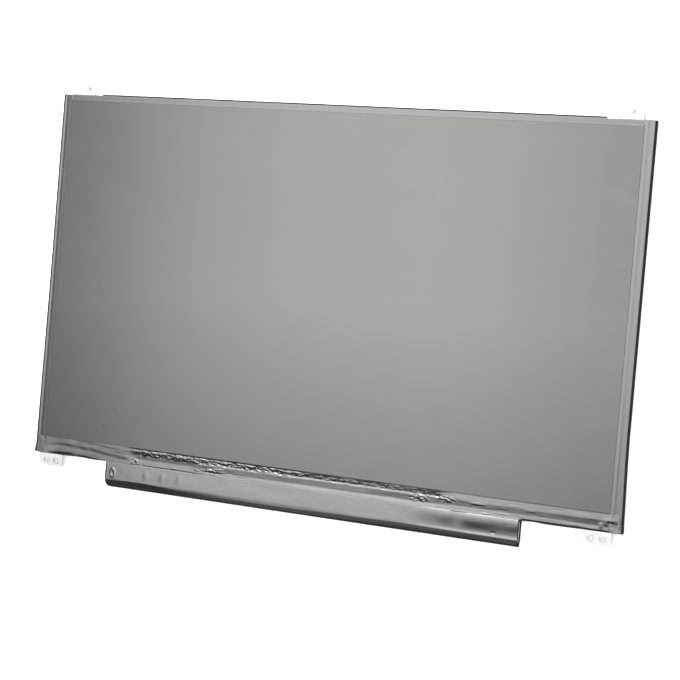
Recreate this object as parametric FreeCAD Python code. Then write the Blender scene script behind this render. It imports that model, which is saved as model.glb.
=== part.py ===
import FreeCAD, Part
import math
import os

# A slim liquid crystal display panel for a laptop lid. It lies on its back with the screen facing up.
# The origin is the centre of the body's outline on the back plane: X runs along the long side,
# Y runs from the driver board to the top edge and Z points out of the screen. Sizes are millimetres.

Vector = FreeCAD.Vector

# Body outline, fits and sheet stock
body_width = 306.3
body_height = 178.0
fit_clearance = 0.05
seam_clearance = 0.3
film_thickness = 0.12
sheet_thickness = 0.3
bend_radius = 0.25

# Optical stack, from the back to the front
bead_depth = 0.2
reflector_thickness = 0.2
guide_thickness = 0.6
diffuser_thickness = 0.12
prism_thickness = 0.16
stack_gap = 0.09
shelf_thickness = 0.3
cell_tape_thickness = 0.1
glass_thickness = 0.4
polariser_thickness = 0.15

# Borders from the body's edges to the screen window, and glass margins around the window
screen_side_border = 4.95
screen_top_border = 3.0
screen_bottom_border = 8.4
screen_corner_radius = 0.3
glass_side_margin = 1.6
glass_top_margin = 0.75
glass_bottom_margin = 1.4
glass_corner_cut = 0.5
ledge_depth = 3.6

# Moulded frame
shelf_side_width = 3.0
shelf_top_width = 1.65
shelf_bottom_width = 5.9
frame_corner_radius = 0.8
tape_inset = 0.2

# Loose sheets of the stack and their locating tabs
stack_play = 0.4
tab_width = 8.0
tab_reach = 1.2
tab_count = 2
tab_spacing = 84.0

# Side rails
rail_flange_width = 8.5
rail_wall_height = 2.8
latch_length = 6.0
latch_height = 0.7
latch_level = 0.9
rail_latch_count = 3
rail_latch_pitch = 62.0

# Screw ears: both pairs share one hole spacing, but sit a little off the body's centre line
screw_span = 281.3
lower_screw_centre = -0.9
upper_screw_centre = 2.6
outer_screw_spacing = 5.65
screw_reach = 3.2
screw_hole_radius = 1.1
collar_radius = 1.7
collar_height = 0.25
ear_level = 2.45
ear_reach = 5.9
ear_corner_radius = 1.0
end_plate_length = 9.0
upper_left_ear_margin = 3.0
upper_left_ear_base = 13.3
upper_left_ear_top = 5.9
upper_right_ear_margin = 7.0
upper_right_ear_width = 11.2
upper_right_corner_radius = 2.2
lower_ear_margin = 4.25
lower_ear_width = 14.2

# Rear cover
top_wall_height = 1.9
lower_wall_height = 1.1
cover_latch_count = 5
cover_latch_pitch = 55.0
flap_recess_width = 4.4
flap_step_run = 0.4
bead_width = 5.0
bead_count = 7
bead_end_inset = 20.0
bead_side_inset = 30.0

# Light bar
lamp_count = 32
lamp_end_inset = 3.9
lamp_width = 3.2
lamp_depth = 1.2
lamp_gap = 0.1
lamp_window_width = 2.4
lamp_window_depth = 0.1
lamp_window_margin = 0.12
strip_thickness = 0.12
strip_overlap = 0.7
strip_end_inset = 5.1
strip_edge_gap = 0.5
tail_x = 84.0
tail_width = 12.0
tail_slot_clearance = 0.15
tail_insertion = 2.0

# Driver films and chips
driver_count = 4
driver_pitch = 44.0
driver_film_width = 34.0
driver_film_thickness = 0.08
driver_bond_width = 2.4
driver_ramp = 1.6
driver_board_bond = 2.4
chip_length = 16.0
chip_width = 1.4
chip_height = 0.4
chip_offset = 1.5

# Driver board
board_gap = 0.9
board_depth = 9.5
board_thickness = 0.6
board_level = 1.7
board_left_margin = 1.5
board_right_margin = 0.1
board_corner_radius = 0.6
tooling_hole_radius = 0.75
tooling_hole_inset = 2.6

# Pieces on the back of the board
timing_chip_x = -22.0
timing_chip_side = 6.6
timing_chip_height = 0.85
lamp_driver_x = 34.0
lamp_driver_side = 4.0
lamp_driver_height = 0.8
inductor_x = 42.0
inductor_side = 5.0
inductor_height = 1.2
inductor_core_radius = 1.9
capacitor_length = 1.6
capacitor_width = 0.8
capacitor_height = 0.75
capacitor_gap = 0.5
capacitor_rows = 2
capacitor_columns = 5
capacitor_group_x = (-58.0, 8.0)
socket_length = 15.0
socket_depth = 3.6
socket_height = 0.9

# Video connector, with its mouth towards the board's outer edge
connector_x = -84.0
connector_width = 21.6
connector_depth = 3.6
connector_height = 1.1
connector_edge_inset = 0.1
mouth_width = 17.6
mouth_depth = 2.6
mouth_wall = 0.25
shell_thickness = 0.15
shell_window_count = 4
shell_window_pitch = 4.6
shell_window_length = 2.4
contact_count = 30
contact_pitch = 0.5
contact_width = 0.22
contact_thickness = 0.15
contact_tail = 1.0
contact_channel_play = 0.15

# Board sleeve: one film folded round the driver board
sleeve_left = 111.9
sleeve_right = 106.8
sleeve_drop = 12.2
fold_depth = 2.9
fold_face = 1.3
fold_radius = 0.6
sleeve_corner_radius = 2.5
front_flap_overlap = 2.8
back_flap_end_gap = 0.4
flap_clearance = 0.02
sleeve_window_margin = 1.5

# Edge films
film_edge_gap = 0.15
film_bend_radius = 0.3
side_film_foot = 0.2
upper_film_end_inset = 22.45
upper_film_bulge = 0.8
upper_film_bulge_radius = 0.55
upper_film_foot = 0.35
lower_film_ramp = 2.0
lower_film_lip = 0.75
lower_film_overhang = 0.1

# Levels worked out from the stack
stack_floor = sheet_thickness + bead_depth
guide_level = stack_floor + reflector_thickness
guide_top = guide_level + guide_thickness
lower_prism_level = guide_top + diffuser_thickness
upper_prism_level = lower_prism_level + prism_thickness
upper_diffuser_level = upper_prism_level + prism_thickness
shelf_level = upper_diffuser_level + diffuser_thickness + stack_gap
shelf_top = shelf_level + shelf_thickness
cell_level = shelf_top + cell_tape_thickness
lower_glass_top = cell_level + glass_thickness
cell_top = lower_glass_top + glass_thickness
screen_level = cell_top + polariser_thickness
flap_level = lower_glass_top + driver_film_thickness + flap_clearance
sleeve_height = flap_level + film_thickness
board_top = board_level + board_thickness

# Outlines worked out from the body and the screen
half_width = body_width / 2
half_height = body_height / 2
screen_half = half_width - screen_side_border
screen_top = half_height - screen_top_border
screen_bottom = -half_height + screen_bottom_border
glass_half = screen_half + glass_side_margin
glass_top = screen_top + glass_top_margin
upper_glass_bottom = screen_bottom - glass_bottom_margin
lower_glass_bottom = upper_glass_bottom - ledge_depth
pocket_half = glass_half + seam_clearance
pocket_top = glass_top + seam_clearance
pocket_bottom = lower_glass_bottom - seam_clearance
rail_outer = half_width - film_thickness
frame_half = rail_outer - sheet_thickness - fit_clearance
frame_edge = half_height - sheet_thickness - fit_clearance
opening_half = pocket_half - shelf_side_width
opening_top = pocket_top - shelf_top_width
opening_bottom = pocket_bottom + shelf_bottom_width
stack_half = pocket_half - stack_play
stack_top = pocket_top - stack_play
guide_bottom = upper_glass_bottom - strip_overlap + lamp_gap
lamp_front = guide_bottom - lamp_gap
lamp_back = lamp_front - lamp_depth
strip_top = guide_bottom + strip_overlap
strip_bottom = pocket_bottom + strip_edge_gap
sheet_bottom = strip_top + seam_clearance
strip_half = pocket_half - strip_end_inset
rail_inner = rail_outer - rail_flange_width
upper_left_screw = screw_span / 2 - upper_screw_centre
upper_right_screw = screw_span / 2 + upper_screw_centre
lower_left_screw = screw_span / 2 - lower_screw_centre
lower_right_screw = screw_span / 2 + lower_screw_centre
upper_left_ear = upper_left_screw - upper_left_ear_margin
upper_right_ear = upper_right_screw - upper_right_ear_margin
lower_left_ear = lower_left_screw - lower_ear_margin
lower_right_ear = lower_right_screw - lower_ear_margin
screw_y = half_height + screw_reach
cover_half = rail_inner - seam_clearance
board_upper_edge = -half_height - board_gap
board_lower_edge = board_upper_edge - board_depth
sleeve_bottom = -half_height - sleeve_drop
film_inner = screen_half + film_edge_gap


def centred_places(count, pitch):
    """Places of a row of equal steps, centred on zero."""
    return [(index - (count - 1) / 2) * pitch for index in range(count)]


def rounded_wire(corners, radii):
    """Closed wire through the corners, each rounded by its own radius."""
    count = len(corners)
    spans = []
    for index, corner in enumerate(corners):
        before = (corners[index - 1] - corner).normalize()
        after = (corners[(index + 1) % count] - corner).normalize()
        radius = radii[index]
        half_angle = before.getAngle(after) / 2
        if radius == 0 or abs(half_angle - math.pi / 2) < 1e-6:
            spans.append((corner, None, corner))
            continue
        tangent = radius / math.tan(half_angle)
        bisector = (before + after).normalize()
        middle = corner + bisector * (radius / math.sin(half_angle) - radius)
        spans.append((corner + before * tangent, middle, corner + after * tangent))
    edges = []
    for index, (start, middle, end) in enumerate(spans):
        if middle is not None:
            edges.append(Part.Arc(start, middle, end).toShape())
        following = spans[(index + 1) % count][0]
        if (following - end).Length > 1e-6:
            edges.append(Part.makeLine(end, following))
    return Part.Wire(edges)


def plate(corners, radii, thickness):
    """Flat plate of a plan outline, from the corners' own level upwards."""
    return Part.Face(rounded_wire(corners, radii)).extrude(Vector(0, 0, thickness))


def block(x_min, x_max, y_min, y_max, z_min, z_max):
    """Plain rectangular block between its limits."""
    corner = Vector(x_min, y_min, z_min)
    return Part.makeBox(x_max - x_min, y_max - y_min, z_max - z_min, corner)


def rounded_block(x_min, x_max, y_min, y_max, z_min, z_max, radius):
    """Block whose four upright edges are rounded."""
    corners = [
        Vector(x_min, y_min, z_min),
        Vector(x_max, y_min, z_min),
        Vector(x_max, y_max, z_min),
        Vector(x_min, y_max, z_min),
    ]
    return plate(corners, [radius] * 4, z_max - z_min)


def slot_block(centre, length, width, z_min, z_max):
    """Upright slot shape with round ends, running along Y."""
    half = width / 2
    reach = length / 2
    return rounded_block(
        centre.x - half, centre.x + half, centre.y - reach, centre.y + reach, z_min, z_max, half * 0.999
    )


def unit(start, end):
    """Direction from one section point to the next."""
    length = math.hypot(end[0] - start[0], end[1] - start[1])
    return ((end[0] - start[0]) / length, (end[1] - start[1]) / length)


def folded_sides(path, thickness, inner_radius):
    """Both sides of a folded strip with their bend radii: the path, and its copy to the left."""
    last = len(path) - 1
    near_side = []
    far_side = []
    near_radii = []
    far_radii = []
    for index, point in enumerate(path):
        arriving = unit(path[max(index - 1, 0)], path[max(index, 1)])
        leaving = unit(path[min(index, last - 1)], path[min(index + 1, last)])
        normal = (-arriving[1] - leaving[1], arriving[0] + leaving[0])
        size = math.hypot(normal[0], normal[1])
        reach = 2 * thickness / size
        far_side.append((point[0] + normal[0] / size * reach, point[1] + normal[1] / size * reach))
        near_side.append(point)
        turn = arriving[0] * leaving[1] - arriving[1] * leaving[0]
        if index in (0, last):
            near_radii.append(0)
            far_radii.append(0)
        elif turn > 0:
            near_radii.append(inner_radius + thickness)
            far_radii.append(inner_radius)
        else:
            near_radii.append(inner_radius)
            far_radii.append(inner_radius + thickness)
    return (near_side, near_radii), (far_side, far_radii)


def folded_section(path, thickness, inner_radius):
    """Closed outline of a folded strip, with its corner radii."""
    (near_side, near_radii), (far_side, far_radii) = folded_sides(path, thickness, inner_radius)
    return near_side + far_side[::-1], near_radii + far_radii[::-1]


def fold_along_x(path, thickness, inner_radius, x_min, x_max):
    """Folded strip whose section lies in the YZ plane."""
    points, radii = folded_section(path, thickness, inner_radius)
    corners = [Vector(x_min, across, height) for across, height in points]
    return Part.Face(rounded_wire(corners, radii)).extrude(Vector(x_max - x_min, 0, 0))


def fold_along_y(path, thickness, inner_radius, y_min, y_max):
    """Folded strip whose section lies in the XZ plane."""
    points, radii = folded_section(path, thickness, inner_radius)
    corners = [Vector(across, y_min, height) for across, height in points]
    return Part.Face(rounded_wire(corners, radii)).extrude(Vector(0, y_max - y_min, 0))


def joined(shapes):
    """One solid from shapes that touch or overlap."""
    return shapes[0].fuse(shapes[1:]).removeSplitter()


def rear_cover():
    """Pressed cover: flat back with stiffening beads, a top wall, a lower wall and a recess for a flap."""
    recess_edge = -half_height + flap_recess_width
    path = [
        (-half_height, lower_wall_height),
        (-half_height, film_thickness),
        (recess_edge, film_thickness),
        (recess_edge + flap_step_run, 0),
        (half_height, 0),
        (half_height, top_wall_height),
    ]
    cover = fold_along_x(path, sheet_thickness, bend_radius, -cover_half, cover_half)
    notch_y = half_height - end_plate_length - seam_clearance
    notches = []
    for side_x, side_y, inner_end in (
        (-1, 1, upper_left_ear),
        (1, 1, upper_right_ear),
        (-1, -1, lower_left_ear),
        (1, -1, lower_right_ear),
    ):
        x_limits = sorted((side_x * (inner_end - seam_clearance), side_x * (cover_half + 1)))
        y_limits = sorted((side_y * notch_y, side_y * (half_height + 1)))
        notches.append(block(*x_limits, *y_limits, -1, cell_top))
    cover = cover.cut(notches)
    bead_centre_y = (stack_top + sheet_bottom) / 2
    bead_length = stack_top - sheet_bottom - 2 * bead_end_inset
    bead_pitch = 2 * (cover_half - bead_side_inset) / (bead_count - 1)
    for place in centred_places(bead_count, bead_pitch):
        centre = Vector(place, bead_centre_y, 0)
        crest_width = bead_width + 2 * sheet_thickness
        crest_length = bead_length + 2 * sheet_thickness
        crest = slot_block(centre, crest_length, crest_width, sheet_thickness / 2, stack_floor)
        groove = slot_block(centre, bead_length, bead_width, -1, bead_depth)
        cover = cover.fuse(crest).cut(groove)
    windows = []
    for place in centred_places(cover_latch_count, cover_latch_pitch):
        half = latch_length / 2
        windows.append(
            block(
                place - half, place + half, frame_edge, half_height + 1, latch_level,
                latch_level + latch_height,
            )
        )
    return cover.cut(windows).removeSplitter()


def ear_outline(inner_end, ear_width, top_width, outer_radius):
    """Plan outline of an end plate and its ear, for the right-hand upper corner."""
    base = half_height - end_plate_length
    tip = half_height + ear_reach
    corners = [
        Vector(inner_end, base, -1),
        Vector(inner_end + ear_width, base, -1),
        Vector(inner_end + ear_width, half_height, -1),
        Vector(inner_end + top_width, tip, -1),
        Vector(inner_end, tip, -1),
    ]
    return plate(corners, [0, 0, 0, outer_radius, ear_corner_radius], cell_top + 2)


def screw_ear(inner_end, ear_width, top_width, outer_radius, hole_places):
    """End plate, end wall and ear in one bent strip, with a raised collar round each screw hole."""
    path = [
        (half_height - end_plate_length, 0),
        (half_height, 0),
        (half_height, ear_level),
        (half_height + ear_reach, ear_level),
    ]
    strip = fold_along_x(path, sheet_thickness, bend_radius, inner_end, inner_end + ear_width)
    ear = strip.common(ear_outline(inner_end, ear_width, top_width, outer_radius))
    ear_top = ear_level + sheet_thickness
    for place in hole_places:
        ear = ear.fuse(Part.makeCylinder(collar_radius, collar_height, Vector(place, screw_y, ear_top)))
    for place in hole_places:
        ear = ear.cut(Part.makeCylinder(screw_hole_radius, cell_top, Vector(place, screw_y, 1)))
    return ear


def side_rail(upper_ear, mirrored_ear):
    """Right-hand rail: angle section with latch windows, and an ear at each end."""
    path = [
        (rail_inner, 0),
        (rail_outer, 0),
        (rail_outer, rail_wall_height),
    ]
    angle = fold_along_y(path, sheet_thickness, bend_radius, -frame_edge, frame_edge)
    windows = []
    for place in centred_places(rail_latch_count, rail_latch_pitch):
        half = latch_length / 2
        windows.append(
            block(
                frame_half, half_width, place - half, place + half, latch_level,
                latch_level + latch_height,
            )
        )
    lower = mirrored_ear.mirror(Vector(0, 0, 0), Vector(0, 1, 0))
    return joined([angle.cut(windows), upper_ear, lower])


def lower_ear(inner_end, inner_screw):
    """Square lower ear with two screw holes."""
    places = (inner_screw, inner_screw + outer_screw_spacing)
    return screw_ear(inner_end, lower_ear_width, lower_ear_width, ear_corner_radius, places)


def side_rails():
    """Both rails: the lower ears match, the upper ear is slanted on the left and square on the right."""
    slanted_ear = screw_ear(
        upper_left_ear, upper_left_ear_base, upper_left_ear_top, ear_corner_radius, (upper_left_screw,)
    )
    square_ear = screw_ear(
        upper_right_ear, upper_right_ear_width, upper_right_ear_width, upper_right_corner_radius,
        (upper_right_screw,),
    )
    left = side_rail(slanted_ear, lower_ear(lower_left_ear, lower_left_screw))
    right = side_rail(square_ear, lower_ear(lower_right_ear, lower_right_screw))
    return left.mirror(Vector(0, 0, 0), Vector(1, 0, 0)), right


def mould_frame():
    """Moulded frame: rim round the glass, shelf under it, and a cavity for the optical stack."""
    outer = rounded_block(
        -frame_half, frame_half, -frame_edge, frame_edge, sheet_thickness, cell_top, frame_corner_radius
    )
    foot_edges = [edge for edge in outer.Edges if edge.BoundBox.ZMax < sheet_thickness + fit_clearance]
    outer = outer.makeChamfer(bend_radius, foot_edges)
    cavity = block(-pocket_half, pocket_half, pocket_bottom, pocket_top, 0, shelf_level)
    opening = block(-opening_half, opening_half, opening_bottom, opening_top, 0, cell_top)
    pocket = block(-pocket_half, pocket_half, pocket_bottom, pocket_top, shelf_top, cell_top + 1)
    lowered_rim = block(
        -film_inner, film_inner, -half_height, pocket_bottom, flap_level, cell_top + 1
    )
    driver_half = (driver_count - 1) / 2 * driver_pitch + driver_film_width / 2 + seam_clearance
    driver_gap = block(-driver_half, driver_half, -half_height, pocket_bottom, shelf_top, cell_top)
    foot_level = film_thickness + sheet_thickness
    foot_corners = [
        Vector(-rail_inner, -half_height, 0),
        Vector(-rail_inner, pocket_bottom, 0),
        Vector(-rail_inner, pocket_bottom, foot_level),
        Vector(-rail_inner, -frame_edge + bend_radius, foot_level),
        Vector(-rail_inner, -frame_edge, foot_level + bend_radius),
        Vector(-rail_inner, -half_height, foot_level + bend_radius),
    ]
    foot_section = Part.Face(rounded_wire(foot_corners, [0] * len(foot_corners)))
    cover_recess = foot_section.extrude(Vector(2 * rail_inner, 0, 0))
    tail_gap = block(
        tail_x - tail_width / 2 - tail_slot_clearance, tail_x + tail_width / 2 + tail_slot_clearance,
        -half_height, pocket_bottom, guide_top - tail_slot_clearance,
        guide_top + strip_thickness + tail_slot_clearance,
    )
    notches = []
    for place in centred_places(tab_count, tab_spacing):
        half = tab_width / 2 + stack_play
        reach = stack_half + tab_reach + stack_play / 2
        notches.append(block(-reach, reach, place - half, place + half, 0, shelf_level))
    cuts = [cavity, opening, pocket, lowered_rim, driver_gap, cover_recess, tail_gap] + notches
    return joined([outer.cut(cuts)] + frame_lugs())


def frame_lugs():
    """Small lugs on the frame's outside, which catch in the windows of the cover and the rails."""
    lugs = []
    play = 2 * fit_clearance
    reach = sheet_thickness - fit_clearance
    low = latch_level + play
    high = latch_level + latch_height - play
    for place in centred_places(cover_latch_count, cover_latch_pitch):
        half = latch_length / 2 - play
        lugs.append(block(place - half, place + half, frame_edge - reach, frame_edge + reach, low, high))
    for place in centred_places(rail_latch_count, rail_latch_pitch):
        half = latch_length / 2 - play
        for side in (-1, 1):
            limits = sorted((side * (frame_half - reach), side * (frame_half + reach)))
            lugs.append(block(*limits, place - half, place + half, low, high))
    return lugs


def stack_sheet(level, thickness, bottom):
    """One loose sheet of the stack, with locating tabs on both sides."""
    pieces = [block(-stack_half, stack_half, bottom, stack_top, level, level + thickness)]
    half = tab_width / 2
    reach = stack_half + tab_reach
    for place in centred_places(tab_count, tab_spacing):
        pieces.append(block(-reach, reach, place - half, place + half, level, level + thickness))
    return joined(pieces)


def light_bar_strip():
    """Flexible circuit that carries the lamps, with its tail towards the driver board."""
    level_top = guide_top + strip_thickness
    strip = block(-strip_half, strip_half, strip_bottom, strip_top, guide_top, level_top)
    tail_left = tail_x - tail_width / 2
    tail_right = tail_x + tail_width / 2
    tail_end = board_upper_edge - capacitor_gap - tail_insertion
    tail = block(tail_left, tail_right, tail_end, strip_bottom + strip_overlap, guide_top, level_top)
    return joined([strip, tail])


def light_bar_lamps():
    """Side-view lamps in a row under the strip, facing the light guide's edge."""
    lamps = []
    lamp_pitch = 2 * (strip_half - lamp_end_inset) / (lamp_count - 1)
    for place in centred_places(lamp_count, lamp_pitch):
        left = place - lamp_width / 2
        lamp = block(left, left + lamp_width, lamp_back, lamp_front, guide_level, guide_top)
        window = block(
            place - lamp_window_width / 2, place + lamp_window_width / 2,
            lamp_front - lamp_window_depth, lamp_front + 1,
            guide_level + lamp_window_margin, guide_top - lamp_window_margin,
        )
        lamps.append(lamp.cut(window))
    return Part.makeCompound(lamps)


def cell_tape():
    """Thin adhesive ring between the frame's shelf and the lower glass."""
    outer = block(
        -glass_half + tape_inset, glass_half - tape_inset, lower_glass_bottom + tape_inset,
        glass_top - tape_inset, shelf_top, cell_level,
    )
    inner = block(
        -opening_half - tape_inset, opening_half + tape_inset, opening_bottom - tape_inset,
        opening_top + tape_inset, 0, cell_top,
    )
    return outer.cut(inner)


def glass_plate(bottom, level):
    """Glass plate with cut corners, from its lower edge to the common top edge."""
    cut = glass_corner_cut
    corners = [
        Vector(-glass_half + cut, bottom, level),
        Vector(glass_half - cut, bottom, level),
        Vector(glass_half, bottom + cut, level),
        Vector(glass_half, glass_top - cut, level),
        Vector(glass_half - cut, glass_top, level),
        Vector(-glass_half + cut, glass_top, level),
        Vector(-glass_half, glass_top - cut, level),
        Vector(-glass_half, bottom + cut, level),
    ]
    return plate(corners, [0] * len(corners), glass_thickness)


def rear_polariser():
    """Polariser on the back of the lower glass, inside the shelf's opening."""
    return rounded_block(
        -opening_half + tape_inset, opening_half - tape_inset, opening_bottom + tape_inset,
        opening_top - tape_inset, cell_level - polariser_thickness, cell_level, screen_corner_radius,
    )


def front_polariser():
    """Polariser on the front of the upper glass: the screen surface."""
    return rounded_block(
        -screen_half, screen_half, screen_bottom, screen_top, cell_top, screen_level,
        screen_corner_radius,
    )


def driver_films():
    """Flexible films bonded to the glass ledge and, past a slope, to the front of the board."""
    ledge_start = upper_glass_bottom - ledge_depth + driver_bond_width
    slope_top = board_upper_edge + driver_ramp / 2
    slope_foot = slope_top - driver_ramp
    path = [
        (slope_foot - driver_board_bond, board_top),
        (slope_foot, board_top),
        (slope_top, lower_glass_top),
        (ledge_start, lower_glass_top),
    ]
    films = []
    for place in centred_places(driver_count, driver_pitch):
        left = place - driver_film_width / 2
        films.append(
            fold_along_x(path, driver_film_thickness, film_bend_radius, left, left + driver_film_width)
        )
    return Part.makeCompound(films)


def driver_chips():
    """Long narrow chips under the driver films, over the frame's lowered edge."""
    chips = []
    upper = pocket_bottom - chip_offset + chip_width / 2
    for place in centred_places(driver_count, driver_pitch):
        left = place - chip_length / 2
        chips.append(
            block(
                left, left + chip_length, upper - chip_width, upper, lower_glass_top - chip_height,
                lower_glass_top,
            )
        )
    return Part.makeCompound(chips)


def driver_board():
    """Long narrow circuit board with two tooling holes."""
    left = -sleeve_left + board_left_margin
    right = sleeve_right - board_right_margin
    board = rounded_block(
        left, right, board_lower_edge, board_upper_edge, board_level, board_top, board_corner_radius
    )
    middle = (board_lower_edge + board_upper_edge) / 2
    for place in (left + tooling_hole_inset, right - tooling_hole_inset):
        board = board.cut(Part.makeCylinder(tooling_hole_radius, sleeve_height, Vector(place, middle, 0)))
    return board


def board_piece(x, side, height):
    """Square chip on the back of the board, in the middle of its width."""
    middle = (board_lower_edge + board_upper_edge) / 2
    half = side / 2
    return block(x - half, x + half, middle - half, middle + half, board_level - height, board_level)


def power_inductor():
    """Square choke with a round core end."""
    body = board_piece(inductor_x, inductor_side, inductor_height)
    middle = (board_lower_edge + board_upper_edge) / 2
    low = board_level - inductor_height
    ring = block(
        inductor_x - inductor_side, inductor_x + inductor_side, middle - inductor_side,
        middle + inductor_side, low, low + bead_depth,
    )
    core = Part.makeCylinder(inductor_core_radius, sleeve_height, Vector(inductor_x, middle, 0))
    return body.cut(ring.cut(core))


def board_capacitors():
    """Two groups of small capacitors in rows on the back of the board."""
    middle = (board_lower_edge + board_upper_edge) / 2
    column_pitch = capacitor_length + capacitor_gap
    row_pitch = capacitor_width + capacitor_gap
    pieces = []
    for group in capacitor_group_x:
        for column in centred_places(capacitor_columns, column_pitch):
            for row in centred_places(capacitor_rows, row_pitch):
                left = group + column - capacitor_length / 2
                lower = middle + row - capacitor_width / 2
                pieces.append(
                    block(
                        left, left + capacitor_length, lower, lower + capacitor_width,
                        board_level - capacitor_height, board_level,
                    )
                )
    return Part.makeCompound(pieces)


def light_bar_socket():
    """Low socket on the back of the board, with a slot that takes the light bar's tail."""
    upper = board_upper_edge - capacitor_gap
    half = socket_length / 2
    body = block(
        tail_x - half, tail_x + half, upper - socket_depth, upper, board_level - socket_height,
        board_level,
    )
    slot = block(
        tail_x - tail_width / 2 - tail_slot_clearance, tail_x + tail_width / 2 + tail_slot_clearance,
        upper - tail_insertion - seam_clearance, upper + 1, guide_top - fit_clearance,
        guide_top + strip_thickness + fit_clearance,
    )
    return body.cut(slot)


connector_front = board_lower_edge + connector_edge_inset
connector_back = connector_front + connector_depth
connector_low = board_level - connector_height


def video_connector_housing():
    """Moulded receptacle with an open mouth and one channel for the row of contacts."""
    half = connector_width / 2
    body = block(
        connector_x - half, connector_x + half, connector_front, connector_back, connector_low,
        board_level,
    )
    mouth_half = mouth_width / 2
    contact_level = board_level - contact_thickness
    mouth = block(
        connector_x - mouth_half, connector_x + mouth_half, connector_front - 1,
        connector_front + mouth_depth, connector_low + mouth_wall, contact_level,
    )
    row_half = (contact_count - 1) / 2 * contact_pitch + contact_width / 2 + contact_channel_play
    channel = block(
        connector_x - row_half, connector_x + row_half, connector_front + mouth_wall,
        connector_back + 1, contact_level, board_level + 1,
    )
    return body.cut([mouth, channel])


def video_connector_shell():
    """Steel shell over the receptacle's outside, with a row of spring windows."""
    half = connector_width / 2 + shell_thickness
    path = [
        (connector_x - half, board_level),
        (connector_x - half, connector_low - shell_thickness),
        (connector_x + half, connector_low - shell_thickness),
        (connector_x + half, board_level),
    ]
    shell = fold_along_y(path, shell_thickness, 0, connector_front, connector_back)
    windows = []
    for place in centred_places(shell_window_count, shell_window_pitch):
        left = connector_x + place - shell_window_length / 2
        windows.append(
            block(
                left, left + shell_window_length, connector_front + mouth_wall * 2,
                connector_front + mouth_depth, 0, connector_low,
            )
        )
    return shell.cut(windows)


def video_connector_contacts():
    """Row of thin contacts, lying on the board and reaching into the mouth."""
    contacts = []
    for place in centred_places(contact_count, contact_pitch):
        left = connector_x + place - contact_width / 2
        contacts.append(
            block(
                left, left + contact_width, connector_front + mouth_wall * 2,
                connector_back + contact_tail, board_level - contact_thickness, board_level,
            )
        )
    return Part.makeCompound(contacts)


def sleeve_sides(open_side):
    """Outer and inner side of the sleeve's loop, from its front round the fold to its back."""
    fold_start = sleeve_bottom + fold_depth
    path = [
        (open_side, sleeve_height),
        (fold_start, sleeve_height),
        (sleeve_bottom, (sleeve_height + fold_face) / 2),
        (sleeve_bottom, (sleeve_height - fold_face) / 2),
        (fold_start, 0),
        (open_side, 0),
    ]
    return folded_sides(path, film_thickness, fold_radius)


def sleeve_core(side, inset, right, open_side):
    """Filled shape inside one side of the sleeve's loop, with its left end rounded in plan."""
    points, radii = side
    left = -sleeve_left + inset
    section = rounded_wire([Vector(left, across, height) for across, height in points], radii)
    core = Part.Face(section).extrude(Vector(right - left, 0, 0))
    corners = [
        Vector(left, sleeve_bottom + inset, -1),
        Vector(right + 1, sleeve_bottom + inset, -1),
        Vector(right + 1, open_side, -1),
        Vector(left, open_side, -1),
    ]
    return core.common(plate(corners, [sleeve_corner_radius - inset, 0, 0, 0], sleeve_height + 2))


def board_sleeve():
    """Film folded round the driver board: loop, closed left end, open right end and two glued flaps."""
    open_side = -half_height - seam_clearance
    outer_side = sleeve_sides(open_side)[0]
    inner_side = sleeve_sides(open_side + 1)[1]
    outside = sleeve_core(outer_side, 0, sleeve_right, open_side)
    inside = sleeve_core(inner_side, film_thickness, sleeve_right + 1, open_side + 1)
    front_end = -half_height + front_flap_overlap
    back_end = -half_height + flap_recess_width - back_flap_end_gap
    front_flap = block(-sleeve_left, sleeve_right, open_side, front_end, flap_level, sleeve_height)
    back_flap = block(-sleeve_left, sleeve_right, open_side, back_end, 0, film_thickness)
    half = connector_width / 2 + shell_thickness + sleeve_window_margin
    window = block(
        connector_x - half, connector_x + half, sleeve_bottom - 1,
        connector_back + contact_tail + sleeve_window_margin, -1, sleeve_height / 2,
    )
    return joined([outside.cut(inside), front_flap, back_flap]).cut(window)


def side_film():
    """Right-hand edge film: over the glass edge and the rim, then down the rail's wall."""
    path = [
        (film_inner, cell_top),
        (rail_outer, cell_top),
        (rail_outer, side_film_foot),
    ]
    return fold_along_y(path, film_thickness, film_bend_radius, -half_height, half_height)


def upper_edge_film():
    """Upper edge film: flat over the rim, with a bulging wrap down the cover's top wall."""
    outer = half_height + upper_film_bulge - film_thickness
    wrap_path = [
        (screen_top + film_edge_gap, cell_top),
        (outer, cell_top),
        (outer, latch_level + latch_height),
        (half_height, latch_level),
        (half_height, upper_film_foot),
    ]
    flat_end = film_inner - 2 * fit_clearance
    wrap_end = half_width - upper_film_end_inset
    wrap = fold_along_x(wrap_path, film_thickness, upper_film_bulge_radius, -wrap_end, wrap_end)
    flat = block(
        -flat_end, flat_end, screen_top + film_edge_gap, half_height, cell_top,
        cell_top + film_thickness,
    )
    return joined([wrap, flat])


def lower_edge_film():
    """Lower edge film: from the screen's edge down over the driver films, with a lip beside the board."""
    outer = -half_height - lower_film_overhang
    step_edge = upper_glass_bottom - film_edge_gap
    crossing = [
        (outer, sleeve_height),
        (step_edge - lower_film_ramp, sleeve_height),
        (step_edge, cell_top),
        (screen_bottom - film_edge_gap, cell_top),
    ]
    with_lip = [(outer, sleeve_height - lower_film_lip)] + crossing
    flat_end = film_inner - 2 * fit_clearance
    pieces = [fold_along_x(crossing, film_thickness, bend_radius, -flat_end, flat_end)]
    for start, end in (
        (seam_clearance - lower_left_ear, -sleeve_left - seam_clearance),
        (sleeve_right + seam_clearance, lower_right_ear - seam_clearance),
    ):
        pieces.append(fold_along_x(with_lip, film_thickness, bend_radius, start, end))
    return joined(pieces)


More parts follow.
